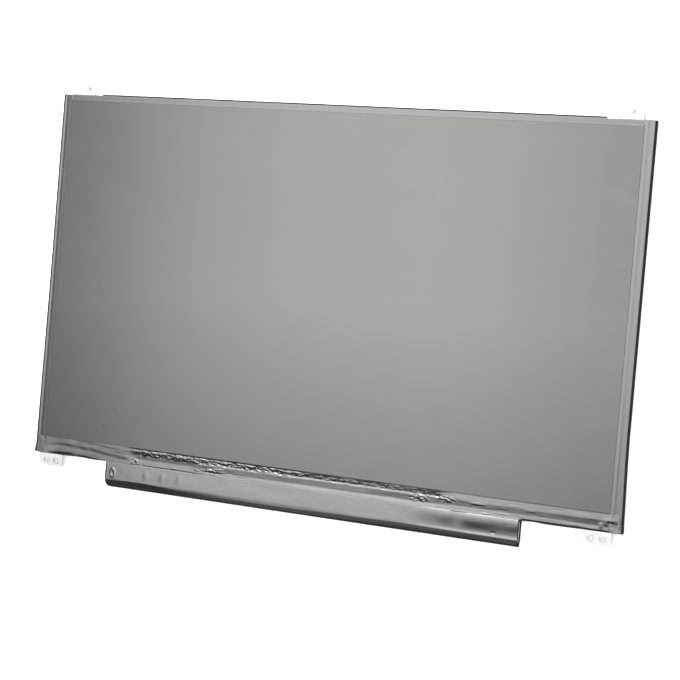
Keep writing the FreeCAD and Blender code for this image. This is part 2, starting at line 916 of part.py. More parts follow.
def build_panel():
    """Every piece of the panel by name, from the back to the front."""
    left_rail, right_rail = side_rails()
    right_film = side_film()
    sheet_stack = {
        "reflector_sheet": (stack_floor, reflector_thickness, lamp_back - seam_clearance),
        "light_guide_plate": (guide_level, guide_thickness, guide_bottom),
        "lower_diffuser_sheet": (guide_top, diffuser_thickness, sheet_bottom),
        "lower_prism_sheet": (lower_prism_level, prism_thickness, sheet_bottom),
        "upper_prism_sheet": (upper_prism_level, prism_thickness, sheet_bottom),
        "upper_diffuser_sheet": (upper_diffuser_level, diffuser_thickness, sheet_bottom),
    }
    pieces = {
        "rear_cover": rear_cover(),
        "left_side_rail": left_rail,
        "right_side_rail": right_rail,
        "mould_frame": mould_frame(),
    }
    for name, (level, thickness, bottom) in sheet_stack.items():
        pieces[name] = stack_sheet(level, thickness, bottom)
    pieces.update({
        "light_bar_strip": light_bar_strip(),
        "light_bar_lamps": light_bar_lamps(),
        "cell_mounting_tape": cell_tape(),
        "rear_polariser": rear_polariser(),
        "thin_film_glass": glass_plate(lower_glass_bottom, cell_level),
        "colour_filter_glass": glass_plate(upper_glass_bottom, lower_glass_top),
        "front_polariser": front_polariser(),
        "driver_films": driver_films(),
        "driver_chips": driver_chips(),
        "driver_board": driver_board(),
        "timing_chip": board_piece(timing_chip_x, timing_chip_side, timing_chip_height),
        "lamp_driver_chip": board_piece(lamp_driver_x, lamp_driver_side, lamp_driver_height),
        "power_inductor": power_inductor(),
        "board_capacitors": board_capacitors(),
        "light_bar_socket": light_bar_socket(),
        "video_connector_housing": video_connector_housing(),
        "video_connector_shell": video_connector_shell(),
        "video_connector_contacts": video_connector_contacts(),
        "board_sleeve": board_sleeve(),
        "left_edge_film": right_film.mirror(Vector(0, 0, 0), Vector(1, 0, 0)),
        "right_edge_film": right_film,
        "upper_edge_film": upper_edge_film(),
        "lower_edge_film": lower_edge_film(),
    })
    return pieces


os.makedirs("parts", exist_ok=True)
for piece_name, piece in build_panel().items():
    piece.exportStep(f"parts/{piece_name}.step")
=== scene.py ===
# %% [markdown]
# # A bare display panel for a laptop lid
#
# The object is a slim liquid crystal panel that lies on its back, screen up. It has a metal tray, two
# steel side rails with screw ears, a glass cell, glossy black edge films and a driver board folded into
# a black film sleeve. The measured solids come in as the frame, and this file dresses them. Everything
# below is in metres, with the origin in the middle of the panel's back, X along the long side and Z
# out of the screen. Thin pieces are easier to think of in millimetres, so the helpers take millimetres
# and one constant turns them into metres.

# %% Load the frame
import math

import bpy
import numpy as np
from mathutils import Matrix, Vector


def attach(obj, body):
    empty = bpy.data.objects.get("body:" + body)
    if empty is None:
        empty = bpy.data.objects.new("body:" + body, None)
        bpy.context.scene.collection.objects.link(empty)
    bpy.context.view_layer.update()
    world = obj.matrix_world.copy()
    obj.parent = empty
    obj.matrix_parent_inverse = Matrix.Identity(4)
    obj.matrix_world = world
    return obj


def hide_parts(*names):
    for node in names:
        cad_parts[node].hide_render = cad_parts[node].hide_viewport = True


MM = 0.001
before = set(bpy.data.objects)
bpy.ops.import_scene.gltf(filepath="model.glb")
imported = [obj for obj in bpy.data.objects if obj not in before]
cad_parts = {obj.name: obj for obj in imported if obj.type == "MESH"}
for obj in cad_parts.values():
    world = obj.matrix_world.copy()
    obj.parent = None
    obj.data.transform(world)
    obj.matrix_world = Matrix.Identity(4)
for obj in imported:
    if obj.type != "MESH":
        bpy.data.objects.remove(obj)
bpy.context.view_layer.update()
print("solids in the frame:", len(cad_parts))

# %% [markdown]
# ## A small language for finishes
#
# A finish is a tree of shader nodes. Placing each node by hand makes long code in which the idea gets
# lost, so small classes do it. A Signal wraps one number that flows between nodes, and sums, products
# and differences of signals add Math nodes by themselves. A Tree places any other node with one method.
# A Finish is a tree with its material, its Principled shader and ready noises. Patterns read Object
# coordinates, which here equal the panel's own metres, so they keep their scale on every piece.

# %% Signals
def both_ways(operation):
    """An operator and its reflected form, so that mask - 1 and 1 - mask both work."""
    return (
        lambda self, other: self.maths(operation, self, other),
        lambda self, other: self.maths(operation, other, self))


class Signal:
    """One number that flows between nodes, so that a formula reads like plain arithmetic."""

    def __init__(self, owner, socket):
        self.owner = owner
        self.socket = socket

    def maths(self, operation, first, second):
        return self.owner.signal("ShaderNodeMath", {"operation": operation}, {0: first, 1: second})

    __add__, __radd__ = both_ways("ADD")
    __sub__, __rsub__ = both_ways("SUBTRACT")
    __mul__, __rmul__ = both_ways("MULTIPLY")
    __truediv__, __rtruediv__ = both_ways("DIVIDE")

    def __abs__(self):
        return self.maths("ABSOLUTE", self, 0.0)

    def most(self, other):
        return self.maths("MAXIMUM", self, other)

    def least(self, other):
        return self.maths("MINIMUM", self, other)

    def sine(self):
        return self.maths("SINE", self, 0.0)


print("signals are ready")


# %% Trees of nodes
class Tree:
    """A node tree, and the one method that places a node in it."""

    def __init__(self, tree):
        self.tree = tree

    def node(self, kind, settings, values):
        """A node of that type, with its settings first and then the values or links of its sockets."""
        made = self.tree.nodes.new(kind)
        for key, value in settings.items():
            if key == "stops":
                ramp = made.color_ramp
                while len(ramp.elements) > 1:
                    ramp.elements.remove(ramp.elements[0])
                ramp.elements[0].position, ramp.elements[0].color = value[0]
                for position, colour in value[1:]:
                    ramp.elements.new(position).color = colour
            else:
                setattr(made, key, value)
        for key, value in values.items():
            self.feed(made.inputs[key], value)
        return made

    def feed(self, socket, value):
        """Link a signal or socket, or set a plain value."""
        if isinstance(value, Signal):
            value = value.socket
        if isinstance(value, bpy.types.NodeSocket):
            self.tree.links.new(value, socket)
        else:
            socket.default_value = value

    def signal(self, kind, settings, values, output=0):
        """The number that a new node gives."""
        return Signal(self, self.node(kind, settings, values).outputs[output])


# %% Finishes
class Finish(Tree):
    """One material: its shader, and the place on the object that patterns read."""

    def __init__(self, name, constants, shader="ShaderNodeBsdfPrincipled"):
        self.material = bpy.data.materials.new(name)
        self.material.use_nodes = True
        super().__init__(self.material.node_tree)
        self.tree.nodes.clear()
        self.shader = self.node(shader, {}, constants)
        self.node("ShaderNodeOutputMaterial", {}, {"Surface": self.shader.outputs[0]})
        self.place = self.node("ShaderNodeTexCoord", {}, {}).outputs["Object"]

    def axis(self, letter):
        """One coordinate of the place, in metres."""
        return self.signal("ShaderNodeSeparateXYZ", {}, {0: self.place}, letter)

    def facing(self, letter):
        """How far the surface faces along an axis, from -1 to 1."""
        normal = self.node("ShaderNodeNewGeometry", {}, {}).outputs["Normal"]
        return self.signal("ShaderNodeSeparateXYZ", {}, {0: normal}, letter)

    def measured(self, size, stretch=(1.0, 1.0, 1.0)):
        """The place counted in steps of a size, stretched for grain that runs one way."""
        scale = tuple(part / size for part in stretch)
        return self.node("ShaderNodeMapping", {}, {"Vector": self.place, "Scale": scale}).outputs[0]

    def noise(self, size, detail=3.0, rough=0.5, stretch=(1.0, 1.0, 1.0), twist=0.0):
        """Cloudy noise from 0 to 1 with blotches about size metres across."""
        return self.signal("ShaderNodeTexNoise", {}, {
            "Vector": self.measured(size, stretch), "Scale": 1.0, "Detail": detail, "Roughness": rough,
            "Distortion": twist})

    def cells(self, size):
        """Distance from the nearest of many points scattered about size metres apart."""
        return self.signal("ShaderNodeTexVoronoi", {}, {"Vector": self.measured(size), "Scale": 1.0})

    def ramp(self, signal, low, high, start=0.0, end=1.0):
        """Turn low..high of a signal into start..end, held level outside, with soft ends."""
        return self.signal("ShaderNodeMapRange", {"interpolation_type": "SMOOTHSTEP"}, {
            0: signal, 1: low, 2: high, 3: start, 4: end})

    def spots(self, size, inner, outer):
        """1 in small round spots scattered about size metres apart, 0 between them."""
        return self.ramp(self.cells(size), inner, outer, 1.0, 0.0)

    def blend(self, amount, first, second):
        """Mix two colours."""
        return self.node("ShaderNodeMix", {"data_type": "RGBA"}, {0: amount, 6: first, 7: second}).outputs[2]

    def dent(self, height, strength, depth):
        """Send a height in 0..1 to the shader's normal; depth is its full travel in metres."""
        bump = self.node("ShaderNodeBump", {}, {"Height": height, "Strength": strength, "Distance": depth})
        self.feed(self.shader.inputs["Normal"], bump.outputs[0])

    def colour(self, value):
        self.feed(self.shader.inputs["Base Color"], value)

    def gloss(self, value):
        self.feed(self.shader.inputs["Roughness"], value)


# %% Colours
def grey(level, warm=0.0):
    """A grey colour; warm above 0 leans to yellow, below 0 to blue."""
    return (level * (1 + warm), level, level * (1 - warm), 1.0)


def rgb(red, green, blue):
    return (red, green, blue, 1.0)


def shaded(colour, share):
    """The same colour, darker."""
    return rgb(*(part * share for part in colour[:3]))


FINISHES = {}
print("finish helpers are ready")

# %% [markdown]
# ## Metals
#
# The tray on the back is thin rolled aluminium. Rolling leaves very long, very fine streaks along the
# sheet, handling leaves a soft haze of smudges, and bends polish bright, which these finishes leave out.
# The rails and ears are stamped bright steel with a finer grain. The streaks are noise squeezed across
# one axis, which is cheap and never repeats, unlike a picture of scratches.

# %% Rolled and stamped metals
def rolled_metal(name, level, base_rough, grain, streak_axis, warm=0.0):
    """Satin sheet: long rolling streaks, smudges of handling and a fine grain in the normal."""
    finish = Finish(name, {"Metallic": 1.0, "IOR": 1.45})
    long_way = (0.04, 1.0, 1.0) if streak_axis == "x" else (1.0, 0.04, 1.0)
    streaks = finish.noise(grain, 3.0, 0.65, long_way)
    haze = finish.noise(0.034, 4.0, 0.6, twist=0.6)
    wipe = finish.noise(0.012, 3.0, 0.55, (1.0, 0.25, 1.0))
    pits = finish.spots(0.0031, 0.03, 0.10)
    tone = finish.ramp(streaks * 0.6 + haze * 0.4, 0.3, 0.7)
    finish.colour(finish.blend(tone, grey(level * 0.82, warm), grey(level * 1.06, warm)))
    finish.gloss(base_rough + streaks * 0.10 + finish.ramp(haze * wipe, 0.18, 0.42, 0.0, 0.14) - pits * 0.05)
    finish.dent(streaks * 0.75 + haze * 0.15 + pits * 0.1, 0.35, 0.00004)
    return finish.material


FINISHES["cover_metal"] = rolled_metal("rolled_cover_metal", 0.60, 0.30, 0.0011, "x", 0.01)
FINISHES["rail_steel"] = rolled_metal("stamped_rail_steel", 0.54, 0.45, 0.0007, "y")
FINISHES["shell_steel"] = rolled_metal("connector_shell_steel", 0.58, 0.28, 0.0004, "x", 0.02)
FINISHES["contact_gold"] = rolled_metal("contact_plating", 0.55, 0.22, 0.0003, "y", 0.32)
print("metals:", len(FINISHES))

# %% [markdown]
# ## The screen
#
# What one sees of the screen is its front polariser, a smooth plastic film over dark glass. It is almost
# black by itself and shows the room instead, so nearly all of its look is in the reflection: a low
# roughness, a higher index than plain plastic because the glass layers behind reflect too, and faint
# smears and dust that only show where they dull the gloss. A fingertip smear is wide and soft; dust is
# a scatter of tiny specks; a very long wave in the normal stands for film that is not perfectly flat.

# %% Screen polariser, rear polariser and glass
def screen_finish(name, deep, smeared):
    """Glossy dark film with smears, dust and a hint of waviness."""
    finish = Finish(name, {"IOR": 1.76, "Specular Tint": rgb(0.997, 1.0, 0.978)})
    smears = finish.noise(0.030, 3.0, 0.5, (1.0, 1.6, 1.0), 1.1)
    wipes = finish.noise(0.010, 2.0, 0.5, (0.35, 1.0, 1.0), 0.4)
    dust = finish.spots(0.0052, 0.020, 0.055)
    rare = finish.ramp(finish.noise(0.021, 1.0), 0.52, 0.60)
    smear = finish.ramp(smears * 0.7 + wipes * 0.3, 0.46, 0.72)
    specks = dust * rare
    finish.colour(finish.blend(specks * 0.55 + smear * 0.05, deep, smeared))
    finish.gloss(0.055 + smear * 0.055 + specks * 0.35)
    finish.dent(finish.noise(0.06, 1.0), 0.12, 0.0001)
    return finish.material


def glass_finish(name):
    """Cut glass: dark from the front, with a greenish, slightly frosted cut edge."""
    finish = Finish(name, {"IOR": 1.52})
    side = 1.0 - finish.ramp(abs(finish.facing("Z")), 0.4, 0.8)
    chips = finish.noise(0.0008, 3.0, 0.6)
    cut = finish.blend(chips, rgb(0.20, 0.30, 0.26), rgb(0.34, 0.46, 0.40))
    finish.colour(finish.blend(side, rgb(0.018, 0.020, 0.020), cut))
    finish.gloss(0.05 + side * (0.25 + chips * 0.2))
    finish.dent(chips, 0.2, 0.00003)
    return finish.material


FINISHES["screen_polariser"] = screen_finish(
    "screen_polariser_film", rgb(0.0075, 0.0085, 0.0070), grey(0.13, 0.03))
FINISHES["rear_polariser_film"] = screen_finish("rear_polariser_film", rgb(0.020, 0.020, 0.024), grey(0.10))
FINISHES["cell_glass"] = glass_finish("cut_cell_glass")
print("screen finishes are ready")

# %% [markdown]
# ## Black edge film
#
# The glossy black film round the panel is a thin polyester tape. Its colour is a near black with a
# trace of violet, and it is the brightest-looking black there is, because it mirrors the light card. On
# top of its real creases, which are geometry further down, the finish adds what is too small to model:
# a fine stipple from the glue underneath, hairline scuffs along the film, a little lint, a warm
# reflection painted into the colour of the flat middle of the board's sleeve, and a duller skin where
# handling rubs the wall that is turned down at the right. The side and upper strips lie flat on glass
# and get a slightly weaker mirror.

# %% Edge film finish
def film_finish(name, index):
    """Glossy black tape; a higher index mirrors the light card more strongly."""
    finish = Finish(name, {"IOR": index, "Specular Tint": rgb(0.992, 0.978, 1.0)})
    stipple = finish.noise(0.0011, 2.0, 0.5)
    waves = finish.noise(0.006, 2.0, 0.5, (0.6, 1.0, 1.0), 0.5)
    scuffs = finish.ramp(finish.noise(0.0009, 2.0, 0.7, (0.05, 1.0, 1.0)), 0.60, 0.74)
    patches = finish.ramp(finish.noise(0.014, 3.0, 0.6), 0.46, 0.62)
    lint = finish.spots(0.0034, 0.02, 0.06) * finish.ramp(finish.noise(0.009, 1.0), 0.55, 0.63)
    worn = scuffs * patches
    cool = finish.blend(waves, rgb(0.0090, 0.0085, 0.0100), rgb(0.0160, 0.0150, 0.0170))
    # pouch, middle and warm place a painted reflection: a warm tint in the base colour of the sleeve's flat,
    # upward-facing middle, standing for warm light mirrored there.
    pouch = finish.ramp(finish.axis("Y"), -0.0930, -0.0895, 1.0, 0.0)
    along = finish.axis("X")
    middle = finish.ramp(along, -0.056, -0.046) * finish.ramp(along, 0.030, 0.050, 1.0, 0.0)
    warm = pouch * middle * finish.ramp(finish.facing("Z"), 0.992, 0.998)
    tone = finish.blend(warm, cool, rgb(0.021, 0.0165, 0.012))
    finish.colour(finish.blend(worn * 0.25 + lint * 0.5, tone, grey(0.16, 0.02)))
    turned_down = finish.ramp(finish.facing("X"), 0.70, 0.95)
    finish.gloss(0.13 + waves * 0.07 + worn * 0.16 + lint * 0.3 + turned_down * 0.62)
    finish.dent(stipple * 0.35 + waves * 0.65, 0.30, 0.00007)
    return finish.material


FINISHES["black_film"] = film_finish("black_edge_film", 2.02)
FINISHES["border_film"] = film_finish("black_border_film", 1.86)
print("edge films are ready")

# %% [markdown]
# ## Mouldings and plain sheets
#
# Most of the stack is hidden once assembled, but a part in a library gets taken apart, so each sheet has
# its own finish. The white frame, the chips, the sockets and the plain sheets differ only in colour,
# gloss and grain, so one function makes them all from a table.

# %% Moulded plastics
def moulded(name, colour, darker, rough, grain):
    """Moulded or printed plastic: a fine texture, soft flow marks and rubbed high spots."""
    finish = Finish(name, {"IOR": 1.5})
    texture = finish.noise(grain, 3.0, 0.6)
    flow = finish.noise(0.016, 3.0, 0.5, (0.3, 1.0, 1.0), 0.7)
    rubbed = finish.ramp(finish.noise(0.005, 3.0, 0.6), 0.55, 0.72)
    finish.colour(finish.blend(flow * 0.75 + texture * 0.25, rgb(*colour), rgb(*darker)))
    finish.gloss(rough + texture * 0.12 - rubbed * 0.10)
    finish.dent(texture * 0.8 + flow * 0.2, 0.25, 0.00003)
    return finish.material


# The material's name, its two colours, its roughness and the size of its grain in metres.
MOULDINGS = {
    "frame_plastic": ("white_frame_moulding", (0.74, 0.74, 0.71), (0.66, 0.66, 0.62), 0.42, 0.0009),
    "chip_black": ("chip_moulding", (0.020, 0.020, 0.022), (0.032, 0.032, 0.034), 0.38, 0.0003),
    "inductor_grey": ("inductor_ferrite", (0.10, 0.10, 0.105), (0.16, 0.155, 0.15), 0.55, 0.0004),
    "capacitor_tan": ("capacitor_ceramic", (0.42, 0.30, 0.19), (0.34, 0.23, 0.14), 0.34, 0.0003),
    "socket_plastic": ("socket_moulding", (0.64, 0.60, 0.50), (0.56, 0.52, 0.43), 0.40, 0.0004),
    "lamp_body": ("lamp_moulding", (0.80, 0.78, 0.70), (0.72, 0.69, 0.60), 0.35, 0.0003),
    "mounting_tape": ("mounting_tape", (0.030, 0.030, 0.030), (0.055, 0.055, 0.055), 0.62, 0.0006),
    "reflector_film": ("reflector_film", (0.86, 0.87, 0.88), (0.80, 0.82, 0.84), 0.28, 0.0012),
    "diffuser_film": ("diffuser_film", (0.80, 0.81, 0.80), (0.74, 0.75, 0.75), 0.48, 0.0006),
}
for finish_name, numbers in MOULDINGS.items():
    FINISHES[finish_name] = moulded(*numbers)
print("mouldings:", len(MOULDINGS))

# %% [markdown]
# ## Patterned sheets and boards
#
# Prism sheets have ridges far below a millimetre, so a sine across the sheet stands for them in the
# normal alone. The light guide is clear acrylic with a dot print that grows away from the lamps, to
# even out the light. The driver board is green solder mask over copper runs with a pale cut edge, and
# the light bar and the driver films are the same idea in amber, so one function makes all three.

# %% Patterned sheets and boards
RIB_PITCH = 0.0005


def prism_finish(name):
    """Clear sheet ribbed in one direction, so that it glints across the ribs."""
    finish = Finish(name, {"IOR": 1.58})
    ribs = (finish.axis("Y") * (2 * math.pi / RIB_PITCH)).sine() * 0.5 + 0.5
    haze = finish.noise(0.02, 3.0)
    finish.colour(finish.blend(haze, rgb(0.66, 0.68, 0.70), rgb(0.78, 0.79, 0.80)))
    finish.gloss(0.20 + haze * 0.12)
    finish.dent(ribs, 0.5, 0.00008)
    return finish.material


def guide_finish(name):
    """Light guide: near-clear acrylic with printed dots that grow away from the lamps."""
    finish = Finish(name, {"IOR": 1.49})
    far = finish.ramp(finish.axis("Y"), -0.08, 0.085, 0.10, 0.34)
    dots = finish.cells(0.0012)
    printed = 1.0 - finish.ramp(dots - far, 0.0, 0.06)
    haze = finish.noise(0.03, 2.0)
    body = finish.blend(haze, rgb(0.62, 0.68, 0.70), rgb(0.70, 0.75, 0.76))
    finish.colour(finish.blend(printed, body, rgb(0.88, 0.88, 0.86)))
    finish.gloss(0.10 + printed * 0.4)
    finish.dent(printed, 0.2, 0.00002)
    return finish.material


def board_finish(name, mask, run, edge, pitch):
    """Circuit board or flexible circuit: copper runs under the mask, and a pale cut edge."""
    finish = Finish(name, {"IOR": 1.55})
    side = 1.0 - finish.ramp(abs(finish.facing("Z")), 0.4, 0.8)
    lane = (finish.axis("Y") * (2 * math.pi / pitch)).sine()
    other = (finish.axis("X") * (2 * math.pi / (pitch * 1.7))).sine()
    which = finish.ramp(finish.noise(0.011, 0.0, 0.5, (1.0, 1.0, 0.0)), 0.49, 0.51)
    runs = finish.ramp(lane * which + other * (1.0 - which), 0.1, 0.35)
    vias = finish.spots(0.0026, 0.10, 0.13)
    copper = (runs * 0.75).most(vias)
    blotch = finish.noise(0.02, 3.0)
    body = finish.blend(blotch, mask, shaded(mask, 0.8))
    top = finish.blend(copper, body, run)
    fibres = finish.noise(0.0006, 2.0, 0.6, (1.0, 1.0, 5.0))
    cut = finish.blend(fibres, edge, shaded(edge, 0.72))
    finish.colour(finish.blend(side, top, cut))
    finish.gloss(0.22 + blotch * 0.1 + side * 0.35)
    finish.dent(copper * (1.0 - side) + fibres * side, 0.4, 0.00004)
    return finish.material


FINISHES["prism_film"] = prism_finish("prism_sheet")
FINISHES["guide_acrylic"] = guide_finish("dotted_light_guide")
FINISHES["board_green"] = board_finish(
    "green_driver_board", rgb(0.020, 0.105, 0.045), rgb(0.040, 0.165, 0.070), rgb(0.66, 0.76, 0.62), 0.0008)
FINISHES["flexible_circuit"] = board_finish(
    "light_bar_circuit", rgb(0.40, 0.19, 0.05), rgb(0.52, 0.27, 0.08), rgb(0.45, 0.26, 0.10), 0.0010)
FINISHES["driver_film"] = board_finish(
    "driver_film_circuit", rgb(0.30, 0.14, 0.045), rgb(0.45, 0.24, 0.08), rgb(0.36, 0.20, 0.08), 0.0004)
print("finishes:", len(FINISHES))

# %% [markdown]
# ## Give each solid its finish
#
# The solids keep the shape they were measured to, so dressing them means filling their object's
# material slot. A table from finish to solids keeps the choice in one place.

# %% Dress the solids
DRESSED = {
    "cover_metal": ["rear_cover"],
    "rail_steel": ["left_side_rail", "right_side_rail"],
    "frame_plastic": ["mould_frame"],
    "reflector_film": ["reflector_sheet"],
    "guide_acrylic": ["light_guide_plate"],
    "diffuser_film": ["lower_diffuser_sheet", "upper_diffuser_sheet"],
    "prism_film": ["lower_prism_sheet", "upper_prism_sheet"],
    "flexible_circuit": ["light_bar_strip"],
    "lamp_body": ["light_bar_lamps"],
    "mounting_tape": ["cell_mounting_tape"],
    "rear_polariser_film": ["rear_polariser"],
    "cell_glass": ["thin_film_glass", "colour_filter_glass"],
    "screen_polariser": ["front_polariser"],
    "driver_film": ["driver_films"],
    "chip_black": ["driver_chips", "timing_chip", "lamp_driver_chip"],
    "board_green": ["driver_board"],
    "inductor_grey": ["power_inductor"],
    "capacitor_tan": ["board_capacitors"],
    "socket_plastic": ["light_bar_socket", "video_connector_housing"],
    "shell_steel": ["video_connector_shell"],
    "contact_gold": ["video_connector_contacts"],
    "black_film": [
        "board_sleeve", "left_edge_film", "right_edge_film", "upper_edge_film", "lower_edge_film"],
}

for finish_name, solids in DRESSED.items():
    for solid in solids:
        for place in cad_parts[solid].material_slots:
            place.material = FINISHES[finish_name]
print("dressed solids:", sum(len(solids) for solids in DRESSED.values()))

# %% [markdown]
# ## Helpers for film
#
# Every black film is a thin sheet that follows a path, so one helper makes them all: it takes the outer
# side as a grid of points, offsets it along its own normals for the inner side, and closes the rims.
# Modelling the creases as real height, and not as a painted pattern, is what makes the reflections run
# and break as they do on real tape. Random hills come from a small seeded noise function.

# %% Sizes of the films, in millimetres
TAPE = 0.05                                      # thickness of the edge films
PANEL_SIDE, GLASS_SIDE = 153.15, 148.35          # x of the panel's wall and of the side films' inner edge
TAPE_TOP, HIGHEST_TAPE = 3.25, 3.36              # z of flat film, and of the highest crease
LOWER_OUTER, LOWER_INNER = -89.1, -80.7          # y of the lower film's two edges
UPPER_INNER = 86.15                              # y of the upper film's inner edge
SLEEVE_LEFT, SLEEVE_RIGHT = -111.9, 106.8
SLEEVE_TOP, SLEEVE_FOLD = 2.97, -101.2
print("sleeve is", round(SLEEVE_RIGHT - SLEEVE_LEFT, 1), "mm long")


# %% Curves and hills
def rise(value, start, end):
    """0 before start, 1 after end, smooth between."""
    amount = np.clip((value - start) / (end - start), 0.0, 1.0)
    return amount * amount * (3.0 - 2.0 * amount)


def hump(value, middle, half_width):
    """A smooth bump of height 1 at middle that reaches 0 at half_width to each side."""
    amount = np.clip(1.0 - ((value - middle) / half_width) ** 2, 0.0, 1.0)
    return amount * amount


def hills(x, y, size, seed):
    """Smooth random hills from -1 to 1 over x and y, size = (along x, along y) apart."""
    rng = np.random.default_rng(seed)
    u, v = np.broadcast_arrays(np.asarray(x) / size[0], np.asarray(y) / size[1])
    u, v = u - np.floor(u.min()), v - np.floor(v.min())
    column, row = np.floor(u).astype(int), np.floor(v).astype(int)
    fu, fv = (part * part * (3.0 - 2.0 * part) for part in (u - column, v - row))
    lattice = rng.uniform(-1.0, 1.0, (column.max() + 2, row.max() + 2))
    near = lattice[column, row] * (1 - fu) + lattice[column + 1, row] * fu
    far = lattice[column, row + 1] * (1 - fu) + lattice[column + 1, row + 1] * fu
    return near * (1 - fv) + far * fv


def waves(x, length, seed):
    """Smooth random waves from -1 to 1 along x alone."""
    return hills(x, 0 * x, (length, 1), seed)


def spaced(*runs):
    """Positions along a line, from (start, end, step) runs that follow one another."""
    parts = []
    for start, end, step in runs:
        count = max(1, int(round(abs(end - start) / step)))
        parts.append(np.linspace(start, end, count, endpoint=False))
    parts.append(np.array([runs[-1][1]]))
    return np.concatenate(parts)


print("curves are ready")


# %% From a grid of points to a film
def put(name, data):
    """A new object in the scene that shows this mesh, lamp or camera."""
    made = bpy.data.objects.new(name, data)
    bpy.context.scene.collection.objects.link(made)
    return made


def film_mesh(name, x, y, z, finish="black_film", thickness=TAPE, keep=None):
    """A closed film whose outer side is the grid of points (x, y, z), in millimetres.

    The cross product of a step down the rows and a step along a row points out of the film.
    """
    grid = np.stack(np.broadcast_arrays(x, y, z), -1)
    rows, columns = grid.shape[:2]
    normal = np.cross(np.gradient(grid, axis=0), np.gradient(grid, axis=1))
    normal /= np.maximum(np.linalg.norm(normal, axis=2, keepdims=True), 1e-9)
    wall = np.broadcast_to(np.asarray(thickness, float), (rows, columns))[..., None]
    points = np.concatenate([grid.reshape(-1, 3), (grid - normal * wall).reshape(-1, 3)]) * MM
    if keep is None:
        keep = np.ones((rows - 1, columns - 1), bool)
    index = np.arange(rows * columns).reshape(rows, columns)
    a, b, c, d = index[:-1, :-1], index[1:, :-1], index[1:, 1:], index[:-1, 1:]
    inner = rows * columns
    quads = [np.stack([a, b, c, d], -1)[keep]]
    quads.append(quads[0][:, ::-1] + inner)
    padded = np.pad(keep, 1)
    neighbours = (padded[1:-1, :-2], padded[2:, 1:-1], padded[1:-1, 2:], padded[:-2, 1:-1])
    for start, end, neighbour in zip((a, b, c, d), (b, c, d, a), neighbours):
        rim = keep & ~neighbour
        first, second = start[rim], end[rim]
        quads.append(np.stack([second, first, first + inner, second + inner], -1))
    faces = np.concatenate(quads)
    used, compact = np.unique(faces, return_inverse=True)
    mesh = bpy.data.meshes.new(name)
    mesh.from_pydata(points[used].tolist(), [], compact.reshape(faces.shape).tolist())
    mesh.validate()
    mesh.shade_smooth()
    mesh.set_sharp_from_angle(angle=math.radians(50))
    mesh.materials.append(FINISHES[finish])
    print(name, "quads:", len(faces))
    return put(name, mesh)


def stand_for(piece, node):
    """The dressed film takes the place of its plain solid."""
    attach(piece, "root")
    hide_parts(node)


print("film helpers are ready")

# %% [markdown]
# ## The lower edge film
#
# This is the strip between the screen and the driver board. It is taped to the glass, drops over the
# glass edge, bridges the driver films and runs up onto the board's sleeve, so its section changes along
# the panel. Five sections are written as heights against the distance down the panel, and blended
# along its length. Falling slopes mirror the dark side of the room and rising slopes the bright side,
# which is how the long streaks come about. Marks and knots add the places where the tape is dented,
# lifted or tightly crumpled.

# %% Sections of the lower film
FILM_LINE = np.arange(LOWER_OUTER, LOWER_INNER + 0.01, 0.02)


def section(points):
    """Height over the line across the film, with the corners rounded off."""
    ys, zs = zip(*sorted(points))
    heights = np.interp(FILM_LINE, ys, zs)
    kernel = np.hanning(17)
    padded = np.pad(heights, 8, mode="edge")
    return np.convolve(padded, kernel / kernel.sum(), mode="valid")


LEFT_SECTION = section([
    (-80.7, 3.27), (-81.1, 3.23), (-83.4, 3.22), (-83.6, 3.22), (-85.1, 3.10), (-85.3, 3.10), (-87.8, 3.10),
    (-88.0, 3.09), (-88.9, 2.95), (-89.1, 2.90)])
SPECKLED_SECTION = section([
    (-80.7, 3.37), (-81.3, 3.20), (-82.0, 3.26), (-82.2, 3.26), (-84.1, 3.00), (-84.3, 2.99), (-85.8, 2.90),
    (-86.0, 2.90), (-88.4, 2.98), (-88.6, 2.97), (-89.1, 2.90)])
MIDDLE_SECTION = section([
    (-80.7, 3.37), (-81.3, 3.21), (-81.8, 3.27), (-81.9, 3.27), (-83.3, 3.08), (-83.5, 3.08), (-84.3, 3.16),
    (-84.5, 3.17), (-87.0, 3.02), (-87.2, 3.02), (-89.1, 3.10)])
FINE_SECTION = section([
    (-80.7, 3.33), (-81.0, 3.29), (-83.4, 3.03), (-83.6, 3.03), (-84.1, 3.11), (-84.3, 3.11), (-87.0, 2.96),
    (-87.2, 2.96), (-89.1, 3.08)])
RIGHT_SECTION = section([
    (-80.7, 3.25), (-81.1, 3.21), (-83.7, 3.25), (-84.0, 3.25), (-86.4, 3.06), (-86.6, 3.06), (-88.0, 3.10),
    (-88.2, 3.10), (-88.9, 2.99), (-89.1, 2.93)])


print("lower film sections:", len(FILM_LINE), "samples each")


